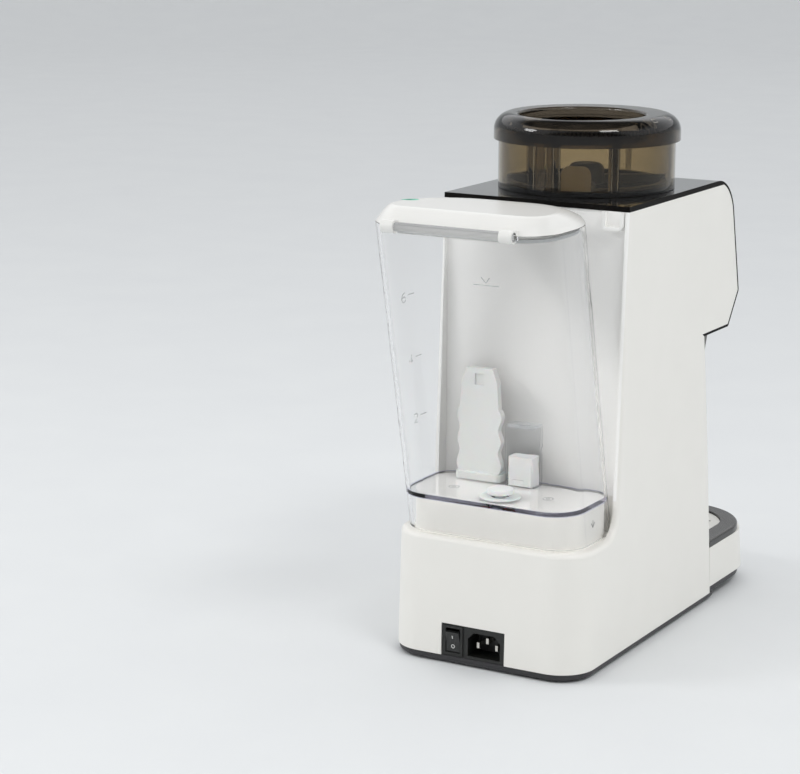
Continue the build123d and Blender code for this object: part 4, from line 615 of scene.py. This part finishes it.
# thin clear box of the float: faint where it is looked through; along its rounded edges it is painted grey,
# painted shade for the dark refraction lines of clear plastic
cage_clear, tree, surface = new_finish("clear_moulded_polycarbonate_thin", Roughness=0.04, IOR=1.5)
lumps = grain(tree, surface, 20.0, 0.01, detail=1.0)
tone(tree, surface, lumps.outputs["Fac"], "#B4B9BD", "#BDC2C5")
edge_painted_shade = add_node(tree, "ShaderNodeMapRange", {
    "Value": add_node(tree, "ShaderNodeLayerWeight", {"Blend": 0.5}).outputs["Facing"],
    "From Min": 0.55, "From Max": 0.95, "To Min": 0.02, "To Max": 0.70,
})
tree.links.new(edge_painted_shade.outputs["Result"], surface.inputs["Alpha"])
dress(cage_clear, "float_cage")

float_pp, tree, surface = new_finish(
    "moulded_polypropylene_natural", Roughness=0.35, IOR=1.49, Subsurface_Weight=0.25, Subsurface_Scale=0.003,
)
lumps = grain(tree, surface, 9.0, 0.02, 0.3, detail=1.0)
tone(tree, surface, lumps.outputs["Fac"], "#F0F1EF", "#F6F6F4")
dress(float_pp, "float_block", "valve_guide", "valve_poppet")

magnet, tree, surface = new_finish("sintered_ferrite_magnet", Roughness=0.5, Metallic=0.4)
lumps = grain(tree, surface, 0.8, 0.02)
tone(tree, surface, lumps.outputs["Fac"], "#2A2A2C", "#3A3A3C")
dress(magnet, "float_magnet")

# white polypropylene of the filter tower, thin enough to glow a little
filter_pp, tree, surface = new_finish(
    "moulded_polypropylene_white", Roughness=0.45, IOR=1.4, Subsurface_Weight=0.2, Subsurface_Scale=0.004,
)
lumps = grain(tree, surface, 7.0, 0.03, 0.4, detail=1.0)
tone(tree, surface, lumps.outputs["Fac"], "#E2E3E1", "#E6E7E4")
dress(filter_pp, "filter_cartridge")

# ------------------------------------------------------------------ level marks of the tank
# Raised strokes moulded on the tank's walls: three levels with numbers on the side wall and a fill
# line on the rear wall. They are of the tank's copolyester and show by their frosted faces.
DIGIT_STROKES = {
    "2": [[(0, 3.2), (0.3, 3.8), (1.2, 4.2), (2.1, 3.8), (2.4, 3.1), (2.0, 2.2), (0, 0), (2.4, 0)]],
    "4": [[(1.8, 0), (1.8, 4.2), (0, 1.3), (2.5, 1.3)]],
    "6": [[(2.2, 4.0), (1.4, 4.2), (0.5, 3.5), (0.05, 2.2), (0.05, 1.3), (0.5, 0.3), (1.2, 0), (2.0, 0.3),
           (2.4, 1.2), (2.0, 2.1), (1.2, 2.4), (0.5, 2.1), (0.1, 1.5)]],
}
frosted, tree, surface = new_finish("frosted_copolyester_mark", Roughness=0.5, IOR=1.47, Alpha=0.5)
lumps = grain(tree, surface, 0.4, 0.01)
tone(tree, surface, lumps.outputs["Fac"], "#B9BCBC", "#C9CCCC")
side_x = 66.0
near_floor_y, near_lean, floor_top = 130.8, 0.24, 116.5


def on_side_wall(p):
    """Flat x is Y, flat y is height, and the mark stands out from the +X wall."""
    return np.stack([side_x + p[..., 2], p[..., 0], p[..., 1]], -1) / 1000


def on_rear_wall(p):
    """Flat x is X, flat y is height, and the mark stands on the leaning rear wall."""
    y = near_floor_y + near_lean * (p[..., 1] - floor_top) + p[..., 2]
    return np.stack([p[..., 0], y, p[..., 1]], -1) / 1000


digit_away, digit_drop, digit_wide, digit_tall = 18.0, 4.2, 2.6, 1.5
level_strokes = []
for level_z, level_y, digit in ((247.8, 105.0, "6"), (203.8, 94.5, "4"), (162.0, 87.5, "2")):
    level_strokes.append(([(level_y + run, level_z) for run in (0, 4, 8)], 0.5, False))
    for stroke in DIGIT_STROKES[digit]:
        # read from outside, the number grows towards smaller Y, so its strokes are turned round
        points = np.array(stroke) * (-digit_wide, digit_tall) + (level_y + digit_away, level_z - digit_drop)
        level_strokes.append((points, 0.55, False))
level_marks = place("level_marks", print_mark(level_strokes, 0.15, on_side_wall), frosted)
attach(level_marks, "water_tank")

fill_line = place("fill_line", print_mark([
    ([(-14.0, 270.4), (-20.0, 270.4), (-26.0, 270.4), (-32.0, 270.4)], 0.5, False),
    ([(-20.0, 275.6), (-23.0, 271.9), (-26.0, 275.6)], 0.45, False),
], 0.15, on_rear_wall), frosted)
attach(fill_line, "water_tank")


def on_floor(p):
    """Flat x and y are X and Y on the top of the tank's floor."""
    return np.stack([p[..., 0], p[..., 1], floor_top + p[..., 2]], -1) / 1000


# moulding gates of the floor: two rings of 7 mm with a small middle
gates = place("floor_gate_rings", print_mark([
    (circle(x, y, radius, count=24), 0.45, True)
    for x, y in ((35.4, 100.8), (-33.5, 97.1)) for radius in (3.5, 1.2)
], 0.12, on_floor), frosted)
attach(gates, "water_tank")

# grey arrow pad printed low on the seat's wall: it shows which way the tank goes down
grey_ink, tree, surface = new_finish("pad_printed_ink_grey", Roughness=0.5, IOR=1.5)
lumps = grain(tree, surface, 0.5, 0.004)
tone(tree, surface, lumps.outputs["Fac"], "#4A4A48", "#565654")
seat_wall_x = -62.6


def on_seat_wall(p):
    """Flat x is Y, flat y is height, and the mark stands out from the seat's -X wall."""
    return np.stack([seat_wall_x - p[..., 2], p[..., 0], p[..., 1]], -1) / 1000


seat_arrow = place("seat_arrow", print_mark([
    ([(90.7, 104.4), (90.7, 102.0), (90.7, 99.6)], 0.7, False),
    ([(93.4, 102.6), (90.7, 99.4), (88.0, 102.6)], 0.7, False),
], 0.08, on_seat_wall), grey_ink)
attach(seat_arrow, "machine")

# ------------------------------------------------------------------ tank lid
# Crowned white ABS lid, moulded glossy, that hangs on the rod by two C clips and has a thumb recess at
# its far end. A small drop is pad printed by the corner.
lid_abs, tree, surface = new_finish("gloss_moulded_abs_white", Roughness=0.24, IOR=1.53)
lumps = grain(tree, surface, 30.0, 0.05, 0.5, detail=1.0)
tone(tree, surface, lumps.outputs["Fac"], "#E6E5E1", "#E9E8E4")
dress(lid_abs, "tank_lid")

# teal drop, pad printed on the crown by the far corner
teal_ink, tree, surface = new_finish("pad_printed_ink_teal", Roughness=0.4, IOR=1.5)
lumps = grain(tree, surface, 0.6, 0.004)
tone(tree, surface, lumps.outputs["Fac"], "#5CC7A6", "#6BD0B0")
crown_z = 315.0


def on_lid(p):
    """Flat x and y are X and Y; the mark lies on the flat middle of the lid's crown."""
    return np.stack([p[..., 0], p[..., 1], crown_z + p[..., 2]], -1) / 1000


def filled(outline):
    """Strokes that fill a closed outline: smaller and smaller copies of it about its middle."""
    middle = outline.mean(0)
    return [(middle + (outline - middle) * share, width, True)
            for share, width in ((0.86, 0.9), (0.66, 0.9), (0.46, 0.9), (0.26, 0.9), (0.1, 0.6))]


# a round foot that narrows to a tip: an ellipse, drawn out and pinched on its tip's side
drop_x, drop_y, drop_along, drop_across = 51.9, 132.9, (0.86, 0.51), (-0.51, 0.86)
drop_turn = np.linspace(0, 2 * pi, 40, endpoint=False)
tipward = np.maximum(np.cos(drop_turn), 0)
reach = 5.6 * np.cos(drop_turn) * (1 + 0.2 * tipward ** 3)
girth = 3.1 * np.sin(drop_turn) * (1 - 0.5 * tipward ** 1.5)
drop = (drop_x, drop_y) + np.outer(reach, drop_along) + np.outer(girth, drop_across)
drop_mark = place("tank_drop_mark", print_mark(filled(drop), 0.08, on_lid), teal_ink)
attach(drop_mark, "tank_lid_body")

# ------------------------------------------------------------------ powder hopper and its lid
# The hopper is a smoked styrene-acrylonitrile cup that lifts off the drive; its lid is a rounded ring
# of the same plastic around a dish. Both are polished inside and out.
hopper_y = -21.2
rib_reach, rib_half_angle, cup_floor_top = 0.0590, 2.9, 0.3132
for name, node, facing_tints, glancing_tints, rib_tint, backed_tint in (
    ("smoked_styrene_acrylonitrile", "hopper_container",
     ("#C4B597", "#C8BA9D"), ("#3A3226", "#3E362A"), "#5A4F3D", "#6A5F4C"),
    ("smoked_styrene_acrylonitrile_thick", "hopper_lid",
     ("#6F6557", "#74695C"), ("#4E463B", "#524A3F"), "#4E463B", "#4E463B"),
):
    smoked, tree, surface = new_finish(
        name, Roughness=0.02, IOR=1.3, Transmission_Weight=1.0, Coat_Weight=0.3, Coat_Roughness=0.02,
    )
    pass_lamps(tree, surface, facing_tints[0])
    # the smoke is 35 mm cloudy and grows deeper where a wall is looked along
    wall = add_node(tree, "ShaderNodeTexNoise", {
        "Vector": add_node(tree, "ShaderNodeTexCoord").outputs["Object"], "Scale": 1000 / 35, "Detail": 0.0,
    })
    bump = add_node(tree, "ShaderNodeBump", {
        "Height": wall.outputs["Fac"], "Distance": 0.0002, "Strength": 0.4,
    })
    tree.links.new(bump.outputs["Normal"], surface.inputs["Normal"])
    straight = tone(tree, surface, wall.outputs["Fac"], *facing_tints)
    along = tone(tree, surface, wall.outputs["Fac"], *glancing_tints)
    depth = add_node(tree, "ShaderNodeMix", {
        "Factor": add_node(tree, "ShaderNodeLayerWeight", {"Blend": 0.35}).outputs["Facing"],
        COLOUR_A: straight.outputs[MIXED], COLOUR_B: along.outputs[MIXED],
    }, data_type="RGBA")
    # what stands further in than the wall, such as the cup's ribs, is thick, so it is darker
    spot = add_node(tree, "ShaderNodeTexCoord").outputs["Object"]
    outward = add_node(tree, "ShaderNodeVectorMath", {0: spot, 1: (0, -hopper_y / 1000, 0)}, operation="ADD")
    outward = add_node(tree, "ShaderNodeVectorMath", {
        0: outward.outputs["Vector"], 1: (1, 1, 0),
    }, operation="MULTIPLY")
    away = add_node(tree, "ShaderNodeVectorMath", {0: outward.outputs["Vector"]}, operation="LENGTH")
    rib = add_node(tree, "ShaderNodeMath", {0: away.outputs["Value"], 1: rib_reach}, operation="LESS_THAN")
    depth = add_node(tree, "ShaderNodeMix", {
        "Factor": rib.outputs["Value"], COLOUR_A: depth.outputs[MIXED], COLOUR_B: linear(rib_tint),
    }, data_type="RGBA")
    # and the wall is nearly as dark where it backs one of the three ribs, at these angles in degrees
    parts = add_node(tree, "ShaderNodeSeparateXYZ", {"Vector": outward.outputs["Vector"]})
    bearing = add_node(tree, "ShaderNodeMath", {
        0: parts.outputs["Y"], 1: parts.outputs["X"],
    }, operation="ARCTAN2")
    for rib_angle in (77, 96, 134.5):
        backed = add_node(tree, "ShaderNodeMath", {
            0: bearing.outputs["Value"], 1: radians(rib_angle), 2: radians(rib_half_angle),
        }, operation="COMPARE")
        depth = add_node(tree, "ShaderNodeMix", {
            "Factor": backed.outputs["Value"], COLOUR_A: depth.outputs[MIXED], COLOUR_B: linear(backed_tint),
        }, data_type="RGBA")
    # the cup's floor is a thick plate and nearly black
    level = add_node(tree, "ShaderNodeSeparateXYZ", {"Vector": spot})
    low_down = add_node(tree, "ShaderNodeMath", {
        0: level.outputs["Z"], 1: cup_floor_top,
    }, operation="LESS_THAN")
    depth = add_node(tree, "ShaderNodeMix", {
        "Factor": low_down.outputs["Value"], COLOUR_A: depth.outputs[MIXED], COLOUR_B: linear("#4A4338"),
    }, data_type="RGBA")
    tree.links.new(depth.outputs[MIXED], surface.inputs["Base Color"])
    dress(smoked, node)


def curved_plate(name, near_r, far_r, start, end, low, high, corner):
    """A plate bent about the hopper's axis, between two radii, two angles in degrees and two heights.

    Up to a corner radius under its top it is full width; above that its half width is drawn in by
    corner - sqrt(corner squared - rise squared), so that both upper corners are round. The rise stops
    just short of the corner radius, so that the top keeps some width."""
    full_rise = pi / 2 * 0.98
    heights = np.r_[low, high - corner + corner * np.sin(np.linspace(0, full_rise, 10))]
    rise = np.maximum(heights - (high - corner), 0)
    drawn_in = np.degrees((corner - np.sqrt(corner ** 2 - rise ** 2)) / near_r)[:, None]
    share = np.linspace(-1, 1, 13)[None, :]
    angle = np.radians((start + end) / 2 + share * ((end - start) / 2 - drawn_in))
    rows, columns = angle.shape
    faces = [np.stack([r * np.cos(angle), hopper_y + r * np.sin(angle), heights[:, None] + 0 * angle], -1)
             for r in (near_r, far_r)]
    index = np.arange(2 * rows * columns).reshape(2, rows, columns)

    def quads(a, b):
        return np.stack([a[:-1], a[1:], b[1:], b[:-1]], -1).reshape(-1, 4)

    near, far = index
    walls = [quads(near[i], near[i + 1]) for i in range(rows - 1)]
    walls += [quads(far[i + 1], far[i]) for i in range(rows - 1)]
    walls += [quads(far[0], near[0]), quads(near[-1], far[-1])]
    walls += [quads(near[:, 0], far[:, 0]), quads(far[:, -1], near[:, -1])]
    mesh = bpy.data.meshes.new(name)
    mesh.from_pydata((np.concatenate(faces).reshape(-1, 3) / 1000).tolist(), [], np.vstack(walls).tolist())
    mesh.update()
    return mesh


# two smoked baffle leaves stand between ribs of the cup, with a slit between them
baffle_smoke, tree, surface = new_finish(
    "smoked_styrene_acrylonitrile_thin", Roughness=0.12, IOR=1.45, Transmission_Weight=0.9,
)
pass_lamps(tree, surface, "#A89A80")
lumps = grain(tree, surface, 9.0, 0.02, 0.3, detail=1.0)
tone(tree, surface, lumps.outputs["Fac"], "#8B7D65", "#93866F")
for name, start, end in (("hopper_baffle_left", 79.8, 87.4), ("hopper_baffle_right", 88.6, 93.2)):
    leaf = place(name, curved_plate(name, 57.2, 58.4, start, end, 313.4, 342.5, 1.2), baffle_smoke)
    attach(leaf, "hopper")

# frosted thumb tab in front of them, and a strip with four peep holes on the rib beside it
frosted_grey, tree, surface = new_finish(
    "frosted_styrene_acrylonitrile_grey", Roughness=0.35, IOR=1.45, Transmission_Weight=0.45,
)
pass_lamps(tree, surface, "#B5B0A4")
lumps = grain(tree, surface, 5.0, 0.02, 0.3, detail=1.0)
tone(tree, surface, lumps.outputs["Fac"], "#B9B6AE", "#C0BDB6")
for name, near_r, start, end, low, high, corner in (
    ("hopper_tab", 56.6, 98.6, 119.0, 313.4, 330.5, 6.0),
    ("hopper_gauge_strip", 55.4, 131.0, 138.4, 313.4, 343.0, 1.5),
):
    tab = place(name, curved_plate(name, near_r, near_r + 1.0, start, end, low, high, corner), frosted_grey)
    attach(tab, "hopper")

# painted shade: a black laid on as marks where small holes are dark inside
hole_shade_black, tree, surface = new_finish("painted_hole_shade_black", Roughness=0.4, IOR=1.5)
lumps = grain(tree, surface, 0.5, 0.004)
tone(tree, surface, lumps.outputs["Fac"], "#131211", "#1C1B1A")


strip_angle, cup_r = radians(134.5), 61.4


def on_strip(p):
    """Flat x runs round the cup's wall from the gauge strip's angle, and flat y is height."""
    angle, r = strip_angle + p[..., 0] / cup_r, cup_r + p[..., 2]
    return np.stack([r * np.cos(angle), hopper_y + r * np.sin(angle), p[..., 1]], -1) / 1000


# the four peep holes are black dots of painted shade for their dark insides
peep_hole_shade = place("gauge_hole_shade", print_mark([
    (circle(0, z, 0.22, count=12), 0.4, True) for z in (321.0, 326.0, 331.0, 336.0)
], 0.1, on_strip), hole_shade_black)
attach(peep_hole_shade, "hopper")


mark_r, shoulder_r, shoulder_middle_r, shoulder_z = 57.5, 12.0, 52.8, 349.0


def on_shoulder(p):
    """Flat x runs round the lid from 180 degrees, flat y inwards from the marks' radius.

    The shoulder is a quarter circle about a ring of its own middle radius: its height over that ring
    is the square root of shoulder_r squared - (r - shoulder_middle_r) squared."""
    r = mark_r - p[..., 1]
    angle = pi + p[..., 0] / mark_r
    z = shoulder_z + np.sqrt(shoulder_r ** 2 - np.maximum(r - shoulder_middle_r, 0) ** 2) + p[..., 2]
    return np.stack([r * np.cos(angle), hopper_y + r * np.sin(angle), z], -1) / 1000


# an open and a closed lock pad printed on the shoulder show which way the lid turns
lock_ink, tree, surface = new_finish("pad_printed_ink_light_grey", Roughness=0.5, IOR=1.5)
lumps = grain(tree, surface, 0.5, 0.004)
tone(tree, surface, lumps.outputs["Fac"], "#8E8A82", "#9A968E")
lock_strokes = []
for middle, swing, bow_shift in ((-13.8, 50.0, 2.0), (4.6, 0.0, 0.0)):
    box = np.array([(-1.9, -2.6), (1.9, -2.6), (1.9, 0.2), (-1.9, 0.2)]) + (middle, 0)
    lock_strokes.append((box, 0.55, True))
    lock_strokes.append((circle(middle + bow_shift, 0.6, 1.3, 0.0, 180.0 - swing, 13), 0.5, False))
lock_marks = place("lock_marks", print_mark(lock_strokes, 0.08, on_shoulder), lock_ink)
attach(lock_marks, "hopper_cover")

lid_silicone, tree, surface = new_finish("moulded_silicone_dark_grey", Roughness=0.5, IOR=1.41)
lumps = grain(tree, surface, 5.0, 0.02)
tone(tree, surface, lumps.outputs["Fac"], "#2E2D2C", "#3A3938")
dress(lid_silicone, "lid_seal")

# ------------------------------------------------------------------ stirrer and its drive
# The stirring wheel is moulded in dark grey acetal. Under the panel a white acetal wheel and pinion
# turn it, in an acetal bush, from a small gear motor in a steel can.
stirrer_acetal, tree, surface = new_finish("moulded_acetal_grey", Roughness=0.36, IOR=1.48)
lumps = grain(tree, surface, 8.0, 0.03, 0.4, detail=1.0)
tone(tree, surface, lumps.outputs["Fac"], "#3A3834", "#45423D")
dress(stirrer_acetal, "mixing_wheel")

gear_acetal, tree, surface = new_finish("moulded_acetal_white", Roughness=0.35, IOR=1.48)
lumps = grain(tree, surface, 6.0, 0.02, 0.2, detail=1.0)
tone(tree, surface, lumps.outputs["Fac"], "#E4E2D8", "#ECEAE2")
dress(gear_acetal, "drive_gear", "motor_pinion", "spindle_bush")

can_steel, tree, surface = new_finish("brushed_steel_can", Metallic=1.0, Roughness=0.3)
# brushing round the can: streaks 0.5 mm apart in height and 17 mm long
streaks = add_node(tree, "ShaderNodeTexNoise", {
    "Vector": add_node(tree, "ShaderNodeMapping", {
        "Vector": add_node(tree, "ShaderNodeTexCoord").outputs["Object"], "Scale": (60.0, 60.0, 2000.0),
    }).outputs["Vector"], "Scale": 1.0, "Detail": 2.0,
})
bump = add_node(tree, "ShaderNodeBump", {"Height": streaks.outputs["Fac"], "Distance": 0.00002})
tree.links.new(bump.outputs["Normal"], surface.inputs["Normal"])
tone(tree, surface, streaks.outputs["Fac"], "#A3A4A5", "#B9BABB")
dress(can_steel, "gear_motor", "gear_plate", "pump_cradle", "heater_bracket")

# ------------------------------------------------------------------ powder and water paths
# Chute and nozzle are white ABS, the dispensing block is olive grey ABS and the funnel drawer is natural
# polypropylene. A nylon pump and a cast aluminium heater complete the water circuit.
dress(body_abs, "powder_chute", "water_nozzle")
block_abs, tree, surface = new_finish("satin_moulded_abs_olive_grey", Roughness=0.4, IOR=1.53)
lumps = grain(tree, surface, 10.0, 0.03, 0.4, detail=1.0)
tone(tree, surface, lumps.outputs["Fac"], "#5C5D55", "#66675F")
dress(block_abs, "dispense_block")

plate_top_z = 44.8


def on_plate(p):
    """Flat x and y are X and Y on the top of the tray plate."""
    return np.stack([p[..., 0], p[..., 1], plate_top_z + p[..., 2]], -1) / 1000


# two drain holes by the front corners of the tray plate, shown as dark discs of painted shade for their dark
# insides
drain_hole_shade = place("plate_drain_hole_shade", print_mark([
    (circle(x, -143.2, 0.55, count=16), 1.0, True) for x in (-49.5, 49.5)
], 0.05, on_plate), hole_shade_black)
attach(drain_hole_shade, "tray_cover")

dress(float_pp, "funnel")
dress(inlet_nylon, "water_pump")
heater_alloy, tree, surface = new_finish("die_cast_aluminium", Metallic=1.0, Roughness=0.5)
lumps = grain(tree, surface, 1.5, 0.05, 0.3)
tone(tree, surface, lumps.outputs["Fac"], "#9A9B9C", "#B0B1B1")
dress(heater_alloy, "heater_block")
